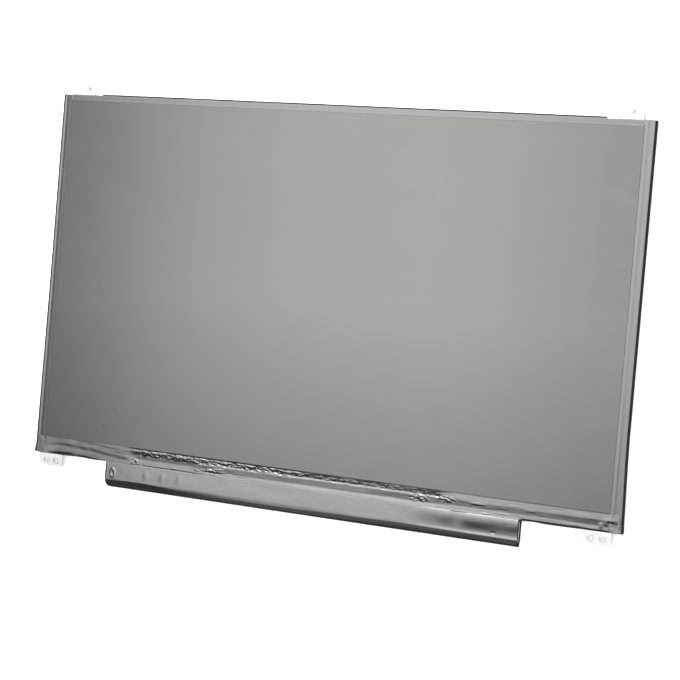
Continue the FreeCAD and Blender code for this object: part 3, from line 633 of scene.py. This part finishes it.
# %% Marks, knots and puckers of the lower film
# Middle x and y, half length and half width, and how far the mark lifts the film.
FILM_MARKS = (
    (-146.0, -82.0, 2.6, 0.45, 0.02), (-138.0, -82.2, 3.2, 0.5, 0.025), (-122.0, -82.4, 4.0, 0.6, -0.03),
    (-112.0, -81.9, 2.6, 0.4, 0.03), (-104.0, -83.4, 3.0, 0.7, 0.04), (-50.5, -86.7, 8.5, 1.0, 0.17),
    (-59.6, -87.3, 2.6, 0.5, 0.10), (-48.0, -85.7, 4.2, 0.7, 0.13), (-50.5, -88.3, 4.0, 0.4, 0.05),
    (-43.0, -87.6, 4.0, 0.5, 0.05), (-36.0, -88.2, 3.0, 0.4, -0.04), (86.5, -84.6, 5.6, 0.8, 0.07),
    (90.5, -88.3, 3.4, 0.4, 0.11), (98.5, -87.4, 4.8, 0.5, 0.05), (98.0, -85.8, 4.2, 0.6, -0.03),
    (104.0, -83.2, 4.4, 0.6, 0.035), (117.5, -86.4, 0.55, 0.5, -0.14), (112.0, -84.6, 5.0, 0.8, 0.03),
    (124.0, -82.3, 5.0, 0.5, -0.03), (133.0, -87.6, 5.0, 0.6, 0.04), (144.6, -86.4, 1.6, 1.9, 0.16),
    (-90.5, -88.3, 1.8, 0.4, -0.05), (-72.0, -88.2, 2.4, 0.4, 0.06))


def knots(x, y):
    """Tightly crumpled places: the ends of the driver films and the tip of a large bubble."""
    left = hump(x, -95.6, 4.4) * hump(y, -86.9, 1.8)
    right = hump(x, 58.0, 7.0) * hump(y, -85.2, 2.8) + hump(x, 71.5, 7.0) * hump(y, -84.2, 2.0)
    tip = 0.5 * hump(x, -52.0, 8.0) * hump(y, -86.6, 1.6)
    return np.clip(1.4 * (left + right + tip), 0.0, 1.0)


def pucker(x, y):
    """How strongly the film is puckered in the row over the driver films."""
    row = rise(x, -98, -91) * (1 - rise(x, 66, 74)) * rise(y, -84.6, -83.4) * (1 - rise(y, -81.9, -81.2))
    return row * (1 - 0.62 * rise(x, -14, 2))


def side_flare(side, y):
    """How far the films swell past the rail near a lower corner."""
    start, size, corner = (-45, 0.9, 0.2) if side > 0 else (10, 0.6, 0.7)
    return size * (1 - rise(y, -91, start)) + corner * (1 - rise(y, -90, -83))


print("marks on the lower film:", len(FILM_MARKS))


# %% Height of the lower film
def lower_film_height(x, y):
    """Height of the lower film over the panel, from its five blended sections."""
    drift = 2.0 * rise(x, -127, -100) - 0.5 * rise(x, -152, -134) * (1 - rise(x, -134, -124))
    height = np.interp(y + drift, FILM_LINE, LEFT_SECTION)
    wander = 0.22 * waves(x, 4.5, 10)
    for start, end, heights, play in (
        (-101, -93, SPECKLED_SECTION, wander), (-66, -52, MIDDLE_SECTION, wander),
        (-12, 2, FINE_SECTION, 0.2 * wander), (64, 76, RIGHT_SECTION, 0.0),
    ):
        share = rise(x, start, end)
        height = height * (1 - share) + share * np.interp(y + play * hump(y, -82.6, 2.2), FILM_LINE, heights)
    plain = 3.14
    height = plain + (height - plain) * (1.0 - 0.6 * hump(x, -130, 4))
    height += 0.018 * hills(x, y, (23, 3.1), 11) + 0.013 * hills(x, y, (7, 1.7), 12)
    height += 0.006 * hills(x, y, (2.3, 0.9), 13)
    for middle_x, middle_y, half_x, half_y, rise_by in FILM_MARKS:
        height += rise_by * hump(np.hypot((x - middle_x) / half_x, (y - middle_y) / half_y), 0.0, 1.0)
    strength = pucker(x, y)
    height += strength * 0.105 * hills(x, y, (2.3, 1.1), 16)
    height += (strength * 0.090 + 0.115 * knots(x, y)) * hills(x, y, (1.0, 0.62), 17)
    height += 0.20 * rise(-y, 88.1, 89.1) * rise(x, 66, 76) * (1 - rise(x, 106.9, 107.6))
    over_side = rise(x, 147.9, 149.0) + rise(-x, 140.5, 149.5)
    height = height * (1 - over_side) + 3.30 * over_side
    crumple = hump(x, 149.6, 5.2) * (1 - rise(y, -84.5, -81.0)) + 0.55 * hump(x, -150.0, 4.6)
    strength = 0.110 + 0.05 * rise(x, 0, 100)
    height += crumple * (strength * hills(x, y, (2.4, 1.9), 14) + 0.030 * hills(x, y, (1.0, 0.8), 15))
    height -= 0.30 * rise(abs(x), 152.2, 153.1) * over_side
    return np.clip(height, None, np.where((y > -81.3) | (x > 141.0), HIGHEST_TAPE, 3.31))


middle_height = lower_film_height(np.array([[0.0]]), np.array([[-85.0]]))[0, 0]
print("height of the film at its middle:", round(float(middle_height), 2), "mm")

# %% [markdown]
# ## Trapped air under the film
#
# Where the lower film was pulled over the driver films it caught air, and it shows as a band of tiny
# bright and black beads under the screen's edge. Sculpting hundreds of beads by hand makes no sense,
# and separate domes would show seams. So a Geometry Nodes tree scatters seeded points over the film
# where a zone attribute allows them, and lifts the film near each point into a dome.

# %% Geometry rules
class Rule(Tree):
    """A geometry tree with named inputs, such as its sizes and its seed."""

    def __init__(self, name, inputs):
        super().__init__(bpy.data.node_groups.new(name, "GeometryNodeTree"))
        for label, kind in (("Geometry", "Geometry"), *inputs):
            self.tree.interface.new_socket(label, in_out="INPUT", socket_type="NodeSocket" + kind)
        self.tree.interface.new_socket("Geometry", in_out="OUTPUT", socket_type="NodeSocketGeometry")
        self.given = self.tree.nodes.new("NodeGroupInput").outputs
        self.result = self.tree.nodes.new("NodeGroupOutput").inputs[0]

    def close(self, geometry):
        """End the tree: instances become real, and the finish is set."""
        real = self.node("GeometryNodeRealizeInstances", {}, {0: geometry}).outputs[0]
        painted = self.node(
            "GeometryNodeSetMaterial", {}, {"Geometry": real, "Material": self.given["Finish"]})
        self.feed(self.result, painted.outputs[0])
        print(self.tree.name, "nodes:", len(self.tree.nodes))


def grow(piece, rule, values):
    """Run a geometry rule on a piece with its inputs set, and keep the result as a plain mesh."""
    modifier = piece.modifiers.new(rule.tree.name, "NODES")
    modifier.node_group = rule.tree
    for item in rule.tree.interface.items_tree:
        if item.item_type == "SOCKET" and item.in_out == "INPUT" and item.name in values:
            modifier[item.identifier] = values[item.name]
    bpy.context.view_layer.update()
    seen = piece.evaluated_get(bpy.context.evaluated_depsgraph_get())
    grown = bpy.data.meshes.new_from_object(seen)
    piece.modifiers.clear()
    old = piece.data
    piece.data = grown
    bpy.data.meshes.remove(old)
    grown.name = piece.name
    print(piece.name, "after", rule.tree.name + ":", len(grown.polygons), "faces")


# %% Rule that raises blisters
def blister_rule():
    """A shallow dome over each of many seeded points, where the zone attribute allows it."""
    rule = Rule("blister_rule", (
        ("Count per Area", "Float"), ("Radius", "Float"), ("Height", "Float"), ("Seed", "Int"),
        ("Finish", "Material")))
    film = rule.given["Geometry"]
    zone = rule.signal("GeometryNodeInputNamedAttribute", {"data_type": "FLOAT"}, {"Name": "blister_zone"})
    scattered = rule.node("GeometryNodeDistributePointsOnFaces", {"distribute_method": "RANDOM"}, {
        "Mesh": film, "Density": zone * rule.given["Count per Area"], "Seed": rule.given["Seed"]})
    near = rule.signal("GeometryNodeProximity", {"target_element": "POINTS"}, {
        0: scattered.outputs["Points"]}, "Distance")
    reach = near / rule.given["Radius"]
    dome = (1.0 - reach * reach).most(0.0)
    offset = rule.node("ShaderNodeCombineXYZ", {}, {2: dome * rule.given["Height"] * zone}).outputs[0]
    moved = rule.node("GeometryNodeSetPosition", {}, {"Geometry": film, "Offset": offset})
    rule.close(moved.outputs[0])
    return rule


BLISTERS = blister_rule()


# %% Lower edge film
def lower_film():
    """The strip under the screen: sections, drooping lip beside the sleeve, and the blister zone."""
    x = spaced(
        (-153.1, -143.5, 0.3), (-143.5, -101, 0.7), (-101, 80, 0.30), (80, 143.0, 0.7),
        (143.0, 153.1, 0.3))[:, None]
    flat = spaced((LOWER_OUTER, -88.2, 0.15), (-88.2, -80.75, 0.17))[None, :]
    edge = 0.16 * waves(x, 8, 21) + 0.18 * hump(x, -126, 14) + 0.16 * hump(x, 114, 4)
    edge = edge + rise(x, 151.3, 153.1) ** 2 + 0.5 * rise(-x, 152.2, 153.1) ** 2
    y = flat + edge * (1 - rise(flat, LOWER_OUTER, -87.0))
    z = lower_film_height(x, y)
    beside = (1 - rise(x, SLEEVE_LEFT - 0.5, SLEEVE_LEFT + 0.5)) * rise(x, -137.6, -136.8)
    beside = beside + rise(x, SLEEVE_RIGHT + 0.4, SLEEVE_RIGHT + 1.1) * (1 - rise(x, 134.7, 135.5))
    lip_y = y[:, :1] - 0.12 * np.array([[1.0, 1.0, 0.85, 0.5]]) * beside - 0.02
    lip_z = z[:, :1] - (0.05 + 0.60 * beside) * np.array([[1.0, 0.66, 0.36, 0.14]])
    y = np.concatenate([lip_y, y], axis=1)
    z = np.concatenate([lip_z, z], axis=1)
    outwards = rise(abs(x), 148.9, 153.1) * np.sign(x)
    flare = outwards * np.where(x > 0, side_flare(1, y), side_flare(-1, y))
    piece = film_mesh("lower_film_strip", x + flare, y, z)
    places = np.array([corner.co for corner in piece.data.vertices]) / MM
    px, py = places[:, 0], places[:, 1]
    zone = np.clip(0.5 * pucker(px, py) * (1 - rise(py, -82.2, -81.6)) + knots(px, py), 0.0, 1.0)
    layer = piece.data.attributes.new("blister_zone", "FLOAT", "POINT")
    layer.data.foreach_set("value", zone.astype(np.float32))
    grow(piece, BLISTERS, {
        "Count per Area": 1.1e6, "Radius": 0.00046, "Height": 0.00008, "Seed": 7,
        "Finish": FINISHES["black_film"]})
    return piece


stand_for(lower_film(), "lower_edge_film")

# %% [markdown]
# ## The board's sleeve
#
# The driver board lies beside the panel in a pouch of the same film: flat on top, folded round the
# board's outer edge with a crisp crease, sealed and rounded at the left end and left open at the right,
# where the board's pale edge peeps out. It is one loop of film swept along the panel. The wrinkles, the
# round dimple over the board's corner, the bulge near the open end and the small dent are added to the
# top of the loop as heights, each with its own place.

# %% Loop of the sleeve
def straight_on(points, end, step):
    """Go on from the last point to the end in even steps."""
    count = max(1, int(round(np.linalg.norm(end - points[-1]) / step)))
    points.extend(points[-1] + (end - points[-1]) * np.linspace(0, 1, count + 1)[1:, None])


def rounded_run(corners, radii, step, arc_steps):
    """Points along a path whose corners are rounded, as an array of (across, height)."""
    corners = np.array(corners, float)
    points = [corners[0]]
    for before, corner, after, radius in zip(corners, corners[1:], corners[2:], radii):
        arriving = (corner - before) / np.linalg.norm(corner - before)
        leaving = (after - corner) / np.linalg.norm(after - corner)
        turn = math.acos(np.clip(arriving @ leaving, -1, 1))
        cut = radius * math.tan(turn / 2)
        start, end = corner - arriving * cut, corner + leaving * cut
        straight_on(points, start, step)
        for turned in np.linspace(0, 1, arc_steps + 1)[1:]:
            points.append(start * (1 - turned) ** 2 + corner * 2 * turned * (1 - turned) + end * turned ** 2)
    straight_on(points, corners[-1], step)
    return np.array(points)


LOOP = rounded_run(
    [(-85.0, 0.0), (-98.3, 0.0), (SLEEVE_FOLD, 0.85), (SLEEVE_FOLD, 1.85), (-100.2, 2.48),
     (-98.3, SLEEVE_TOP), (-88.2, SLEEVE_TOP)],
    [0.6, 0.5, 0.45, 1.1, 0.35], 0.30, 6)


print("points round the sleeve:", len(LOOP))


# %% Relief of the sleeve's top
# Middle x, half width, height and lean of the soft creases near the left end.
SLEEVE_CREASES = ((-88.0, 1.3, 0.075, 0.10), (-78.7, 1.1, 0.07, 0.22), (-69.0, 1.5, 0.06, 0.20))
# The fold along the sleeve leans in and out: x, and how far.
FOLD_X = [-111, -101, -88, -82, -70, -58, -29, -3, 23, 50, 80, 106]
FOLD_LEAN = [0.2, 0.8, 0.9, 0.6, -0.2, -0.9, -0.7, -0.5, 0.0, 0.4, 0.2, 0.0]


def sleeve_relief(x, y):
    """Height added to the sleeve's top face: tilt, bulge, creases, dimple, dent and small hills."""
    tilt = 0.026 - 0.013 * rise(x, -66, -16)
    relief = tilt * (-89.0 - y) * rise(y, -100.2, -97.0) * (1 - rise(x, 50, 90))
    swell = 0.33 * rise(-y, 87.2, 90.6) - 0.45 * rise(-y, 90.8, 97.0) + 0.11 * rise(-y, 96.9, 98.2)
    patchy = 1 - 0.40 * hump(x, 77.5, 5) + 0.10 * waves(x, 9, 31)
    relief = relief + swell * rise(x, 48, 80) * patchy
    for middle, width, height, lean in SLEEVE_CREASES:
        relief = relief + height * (hump(x - lean * (y + 93.0), middle, width * 1.6) * hump(y, -93.4, 3.4))
    dimple = np.hypot((x + 107.2) / 1.5, (y + 94.2) / 2.4)
    dent = np.hypot((x - 94.7) / 1.3, (y + 96.3) / 0.7)
    relief = relief + 0.14 * hump(dimple, 0.75, 0.45) - 0.05 * hump(dimple, 0.0, 0.6)
    relief = relief - 0.22 * hump(dent, 0.0, 1.0)
    relief = relief + 0.030 * hills(x, y, (16, 6), 32) + 0.012 * hills(x, y, (5, 3), 33)
    return np.clip(relief + 0.0035 * hills(x, y, (1.8, 1.4), 34), None, 0.40)


print("soft creases on the sleeve:", len(SLEEVE_CREASES))


# %% The sleeve
def sleeve():
    """The film pouch round the driver board, with a window for the video connector on its back."""
    x = spaced(
        (SLEEVE_LEFT, -109.5, 0.12), (-109.5, -104.5, 0.22), (-104.5, 90, 0.62),
        (90, SLEEVE_RIGHT, 0.4))[:, None]
    loop_y, loop_z = LOOP.T[:, None]
    inset = np.clip(x - SLEEVE_LEFT, 0, None)
    radius = 2.5
    inward = radius - np.sqrt(np.clip(radius ** 2 - np.clip(radius - inset, 0, None) ** 2, 0, None))
    outer_part = 1 - rise(loop_y, -99.4, -92.5)
    on_top = loop_z > SLEEVE_TOP - 0.4
    near_fold = rise(-loop_y, 95.5, 98.3) * (1 - rise(-loop_y, 99.6, 101.2)) * (loop_z > 1.2)
    y = loop_y + inward * outer_part + np.interp(x, FOLD_X, FOLD_LEAN) * near_fold
    sealed_end = 0.7
    pinch = np.clip(1 - np.clip(1 - inset / sealed_end, 0, 1) ** 3, 0.03, 1) ** (1 / 3)
    middle = SLEEVE_TOP / 2
    face = rise(loop_z, SLEEVE_TOP - 0.35, SLEEVE_TOP - 0.02) * on_top
    z = loop_z + sleeve_relief(x, y) * face * rise(inset, 0.2, 1.2)
    fold_wave = 0.05 * hills(x, loop_z, (9, 1.2), 35) * (1 - rise(loop_y, -100.3, -98.8))
    y = y + np.clip(fold_wave, 0, 1)
    tuck = 0.12 * rise(loop_y, -89.2, -88.7) * on_top
    z = np.clip(middle + (z - tuck - middle) * pinch, 0.0, None)
    trim = -0.36 * rise(x, SLEEVE_RIGHT - 0.8, SLEEVE_RIGHT) * rise(loop_z, 0.6, 2.2)
    mid_x = (x[:-1] + x[1:]) / 2
    mid_y = (loop_y[:, :-1] + loop_y[:, 1:]) / 2
    mid_z = (loop_z[:, :-1] + loop_z[:, 1:]) / 2
    window = (abs(mid_x + 84.0) < 12.45) & (mid_y < -92.3) & (mid_z < SLEEVE_TOP / 2)
    wall = np.minimum(0.09, 0.25 * SLEEVE_TOP * pinch)
    return film_mesh("driver_board_sleeve", x + trim, y, z, thickness=wall, keep=~window)


stand_for(sleeve(), "board_sleeve")

# %% [markdown]
# ## Side and upper edge films
#
# The side films lie on the glass border and turn down over the rails, which is why the panel's right
# side reads as a thin black wall. Each is a bent strip swept down the panel, and a table of heights
# across it makes the long soft streaks: the right one is pushed up beside the glass, most near the lower
# corner, and the left one sags towards the rail. The upper film is the same idea, with a slack wrap over
# the top edge that stands a little proud between the ears.

# %% Side films
RIGHT_STREAKS = (
    [148.35, 148.9, 149.7, 149.9, 150.5, 151.2, 152.6, 153.15],
    [0.0, 0.004, 0.046, 0.044, -0.020, -0.020, 0.0, 0.0])
LEFT_STREAKS = (
    [148.35, 148.7, 150.4, 151.2, 152.1, 152.35, 152.7, 153.15],
    [0.0, 0.0, -0.022, -0.045, -0.005, -0.010, -0.045, -0.09])


def side_film(name, side, seed):
    """Edge film on one long side: side is 1 for the right and -1 for the left."""
    y = spaced((-89.0, -78.0, 0.5), (-78.0, 80.0, 1.0), (80.0, 89.0, 0.5))[::side][:, None]
    path = rounded_run([(PANEL_SIDE, 0.2), (PANEL_SIDE, TAPE_TOP), (GLASS_SIDE, TAPE_TOP)], [0.42], 0.16, 8)
    across, height = path.T[:, None]
    if side > 0:
        relief = np.interp(across, *RIGHT_STREAKS) * (0.70 + 1.5 * (1 - rise(y, -62, -30)))
    else:
        relief = np.interp(across, *LEFT_STREAKS)
    groove_depth = 0.05 + 0.03 * hills(0 * y, y, (1, 30), seed)
    relief = relief - groove_depth * 0.3 * hump(across, 151.0, 1.2)
    relief = relief + 0.008 * hills(across, y, (1.8, 19), seed + 1)
    relief = relief + 0.004 * hills(across, y, (1.1, 4), seed + 2)
    relief = relief * rise(y, -82.6, -80.4)
    if side > 0:
        relief = relief - 0.07 * (1 - rise(y, -84.6, -82.6))
    flat = rise(height, 3.05, 3.22)
    wall_wave = 0.03 * hills(height, y, (1.5, 14), seed + 5) * (1 - flat)
    flare = side_flare(side, y) * rise(across, 148.9, 153.1)
    x = side * (across + flare - np.clip(wall_wave, 0, 1))
    return film_mesh(name, x, y, height + relief * flat, "border_film")


stand_for(side_film("right_film_strip", 1, 51), "right_edge_film")
stand_for(side_film("left_film_strip", -1, 61), "left_edge_film")


# %% Upper film
def way_along(path):
    """How far each point of a path is from its start, along the path."""
    steps = np.linalg.norm(np.diff(path, axis=0), axis=1)
    return np.concatenate([[0], np.cumsum(steps)])


def matched(plain, wrap):
    """The plain end section with as many points as the wrapped one, matched from the inner edge."""
    line, target = way_along(plain), way_along(wrap)
    places = np.clip(line[-1] - (target[-1] - target), 0, None)
    return np.stack([np.interp(places, line, part) for part in plain.T], -1)


def upper_film():
    """Flat strip above the screen; between the ears it wraps over the edge and hangs slack."""
    x = spaced(
        (148.25, 131.6, 0.9), (131.6, 129.6, 0.2), (129.6, -129.6, 1.0), (-129.6, -131.6, 0.2),
        (-131.6, -148.25, 0.9))[:, None]
    wrap = rounded_run(
        [(89.02, 0.36), (89.05, 0.9), (89.72, 1.5), (89.72, 2.2), (89.0, 3.22), (UPPER_INNER, 3.22)],
        [0.4, 0.4, 0.2, 0.2], 0.2, 6)
    plain = matched(rounded_run([(88.98, 3.04), (88.98, 3.22), (UPPER_INNER, 3.22)], [0.12], 0.02, 4), wrap)
    plain[:, 1] -= 0.01 * (1 - np.linspace(0, 1, len(wrap)))
    wrapped = rise(x, -131.0, -130.4) * (1 - rise(x, 130.4, 131.0))
    across, height = plain.T[:, None] * (1 - wrapped) + wrap.T[:, None] * wrapped
    slack = 0.05 * waves(x, 21, 71) * wrapped * rise(across, 88.6, 89.4)
    relief = np.interp(
        across, [UPPER_INNER, 86.5, 87.4, 88.0, 88.5, 89.2], [0.012, 0.010, 0.0, 0.012, 0.016, 0.0])
    relief = relief + 0.12 * rise(x, -110, 40) * (across - UPPER_INNER) / 2.85
    relief = relief + 0.005 * hills(x, across, (22, 1.6), 72) + 0.003 * hills(x, across, (5, 1.1), 73)
    y = np.clip(across + slack, None, 89.79)
    z = np.clip(height + relief * rise(height, 3.05, 3.2), None, HIGHEST_TAPE)
    return film_mesh("upper_film_strip", x, y, z, "border_film")


stand_for(upper_film(), "upper_edge_film")

# %% [markdown]
# ## Small repeated parts
#
# The lamps, the ceramic capacitors and the connector's contacts repeat along a row. Each lamp and
# capacitor carries the same tiny detail: a yellow phosphor window in each lamp's front, and tinned end
# caps on each capacitor. The solids already say where each one is, so the boxes of their loose parts give
# the places, and one Geometry Nodes tree sets a small block at each place. Blocks with a few faces are
# enough at this size, and a live bevel takes their sharp edges off.

# %% Places of the loose parts
def loose_boxes(node):
    """(lowest, highest) corner of each separate part in a solid, in metres."""
    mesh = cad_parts[node].data
    corners = [np.array(corner.co) for corner in mesh.vertices]
    keys = [tuple(np.round(corner, 7)) for corner in corners]
    parent = {key: key for key in keys}

    def root(key):
        while parent[key] != key:
            key = parent[key]
        return key

    for face in mesh.polygons:
        first, *others = (root(keys[number]) for number in face.vertices)
        for other in others:
            parent[other] = first
    groups = {}
    for key, corner in zip(keys, corners):
        groups.setdefault(root(key), []).append(corner)
    boxes = [(np.min(group, 0), np.max(group, 0)) for group in groups.values()]
    return sorted(boxes, key=lambda box: tuple(np.round(box[0], 6)))


lamp_boxes = loose_boxes("light_bar_lamps")
capacitor_boxes = loose_boxes("board_capacitors")
print("lamps:", len(lamp_boxes), "capacitors:", len(capacitor_boxes))


# %% Rule that sets small blocks
def block_rule():
    """The same block on every point, with its size as an input."""
    rule = Rule("small_block_rule", (("Block Size", "Vector"), ("Finish", "Material")))
    block = rule.node("GeometryNodeMeshCube", {}, {"Size": rule.given["Block Size"]})
    points = rule.node("GeometryNodeMeshToPoints", {}, {0: rule.given["Geometry"]})
    placed = rule.node("GeometryNodeInstanceOnPoints", {}, {
        "Points": points.outputs[0], "Instance": block.outputs[0]})
    rule.close(placed.outputs[0])
    return rule


BLOCKS = block_rule()


def blocks_at(name, places, size, finish):
    """One piece made of the same small block at each place, with its edges softened."""
    mesh = bpy.data.meshes.new(name)
    mesh.from_pydata([tuple(place) for place in places], [], [])
    piece = put(name, mesh)
    grow(piece, BLOCKS, {"Block Size": size, "Finish": finish})
    bevel = piece.modifiers.new("soft_edges", "BEVEL")
    bevel.width = min(size) * 0.18
    bevel.segments = 2
    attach(piece, "root")


# %% Lamp windows and capacitor caps
def phosphor_finish():
    """Yellow phosphor cast in a lamp's window: grainy and soft."""
    finish = Finish("lamp_phosphor", {"IOR": 1.5})
    grain = finish.noise(0.0004, 3.0, 0.7)
    finish.colour(finish.blend(grain, rgb(0.86, 0.66, 0.10), rgb(0.92, 0.80, 0.30)))
    finish.gloss(0.3 + grain * 0.25)
    finish.dent(grain, 0.3, 0.00002)
    return finish.material


WINDOW_SIZE, WINDOW_INSET, WINDOW_Z = (2.34 * MM, 0.06 * MM, 0.30 * MM), 0.05 * MM, 1.0 * MM
window_places = [((low[0] + high[0]) / 2, high[1] - WINDOW_INSET, WINDOW_Z) for low, high in lamp_boxes]
blocks_at("lamp_windows", window_places, WINDOW_SIZE, phosphor_finish())

CAP_LENGTH, CAP_INSET, CAP_MARGIN = 0.34 * MM, 0.15 * MM, 0.04 * MM
cap_places = []
for low, high in capacitor_boxes:
    middle = (low + high) / 2
    cap_places += [(place, middle[1], middle[2]) for place in (low[0] + CAP_INSET, high[0] - CAP_INSET)]
width, height = (float(size) + CAP_MARGIN for size in (capacitor_boxes[0][1] - capacitor_boxes[0][0])[1:])
blocks_at("capacitor_caps", cap_places, (CAP_LENGTH, width, height), FINISHES["shell_steel"])

# %% [markdown]
# ## Floor
#
# The floor is plain and pale, and glows a little so that it stays as bright as the photograph's ground.
# It is kept out of mirror images, because the glossy films would show it as a hard white band.

# %% Floor
def stage_plane(name, height, middle, half_size):
    """A level rectangle that is part of the stage."""
    mesh = bpy.data.meshes.new(name)
    corners = [(middle[0] + u * half_size[0], middle[1] + v * half_size[1], 0)
               for u, v in ((-1, -1), (1, -1), (1, 1), (-1, 1))]
    mesh.from_pydata(corners, [], [(0, 1, 2, 3)])
    plane = put(name, mesh)
    plane.location.z = height
    return plane


def floor_finish():
    """Matt pale floor with a faint cloud."""
    finish = Finish("pale_floor", {
        "IOR": 1.45, "Specular IOR Level": 0.2, "Emission Color": grey(0.9), "Emission Strength": 0.65})
    cloud = finish.noise(0.4, 2.0)
    finish.colour(finish.blend(cloud, grey(0.80), grey(0.84)))
    finish.gloss(0.75 + cloud * 0.1)
    return finish.material


floor = stage_plane("studio_floor", -0.0003, (0, 0), (4.0, 4.0))
floor.data.materials.append(floor_finish())
floor.visible_glossy = False
print("floor is down")

# %% [markdown]
# ## The light card
#
# The light is one large soft card above the panel's left half. A glossy screen shows whatever it faces,
# so the card's glow along X becomes the smooth gradient on the screen. Along Y it falls off before the
# horizon, so steep film mirrors the dim room and reads black; a bright band at its far end lights the
# crests of the films, and a low glow at its near end lifts their troughs. The camera doesn't see it.

# %% Light card
CARD_LEFT, CARD_LENGTH = -1.35, 1.70
CARD_LEVELS = (
    (-1.35, 0.12), (-1.20, 0.26), (-1.10, 0.40), (-1.02, 0.53), (-0.95, 0.69), (-0.87, 0.83),
    (-0.77, 0.93), (-0.66, 0.98), (-0.56, 1.0), (-0.47, 0.95), (-0.40, 0.87), (-0.33, 0.79),
    (-0.10, 0.74), (0.35, 0.60))
CARD_GLOW = 5.1


def card_finish():
    """Glow of the card: levels along X, and a slope, a band and a low glow along Y."""
    finish = Finish("light_card_glow", {"Strength": 1.0}, "ShaderNodeEmission")
    x, y = finish.axis("X"), finish.axis("Y")
    stops = [((place - CARD_LEFT) / CARD_LENGTH, grey(level)) for place, level in CARD_LEVELS]
    along = finish.signal("ShaderNodeValToRGB", {"stops": stops}, {0: (x - CARD_LEFT) / CARD_LENGTH})
    slope = ((y + 0.62) / 0.585).most(0.0).least(1.0)
    band = finish.ramp(y, 0.27, 0.47, 0.0, 2.0)
    low_glow = finish.ramp(y, -1.22, -0.98, 0.15, 0.0)
    glow = along * (slope + band + low_glow) * CARD_GLOW
    colour = finish.node("ShaderNodeCombineColor", {}, {0: glow, 1: glow, 2: glow * 0.985})
    finish.feed(finish.shader.inputs["Color"], colour.outputs[0])
    return finish.material


card = stage_plane("light_card", 1.34, (-0.5, -0.30), (0.85, 1.35))
card.data.materials.append(card_finish())
card.visible_camera = False
print("light card is up")

# %% [markdown]
# ## Fill lamps, room and camera
#
# One soft lamp above keeps the floor even and stays out of mirror images. One under the floor lights
# the panel's back, which shows only when the floor is taken away. The room is dim and grey. The camera
# stands where the photograph was taken from, to the right of the panel and about twenty-seven degrees
# off straight above, with a long lens.

# %% Fill and world
def soft_lamp(name, centre, size, power, seen_in_gloss):
    """A square lamp that looks at the panel's middle."""
    data = bpy.data.lights.new(name, "AREA")
    data.shape = "SQUARE"
    data.size = size
    data.energy = power
    lamp = put(name, data)
    lamp.location = centre
    lamp.rotation_euler = (-Vector(centre)).to_track_quat("-Z", "Y").to_euler()
    lamp.visible_glossy = seen_in_gloss


soft_lamp("floor_fill", (0.3, 0.2, 2.2), 2.4, 30.0, False)
soft_lamp("under_fill", (0.0, 0.0, -1.3), 1.2, 5.0, True)
world = bpy.data.worlds.new("dim_room")
bpy.context.scene.world = world
world.use_nodes = True
background = world.node_tree.nodes["Background"]
background.inputs["Color"].default_value = grey(0.10)
background.inputs["Strength"].default_value = 1.0
bpy.context.scene.view_settings.view_transform = "Standard"
print("lights are set")

# %% Camera
CAMERA_PLACE = (0.43245, 0.01640, 0.82811)
# The camera's own right, up and backward directions, as unit vectors.
CAMERA_AXES = (
    (0.88597, 0.08407, -0.45606), (-0.09186, 0.99576, 0.00511), (0.45455, 0.03736, 0.88994))
lens = bpy.data.cameras.new("camera")
lens.lens = 106.6
lens.sensor_width = 36.0
lens.clip_start = 0.01
camera = put("camera", lens)
camera.matrix_world = Matrix.Translation(CAMERA_PLACE) @ Matrix(CAMERA_AXES).transposed().to_4x4()
bpy.context.scene.camera = camera
print("camera is in place")
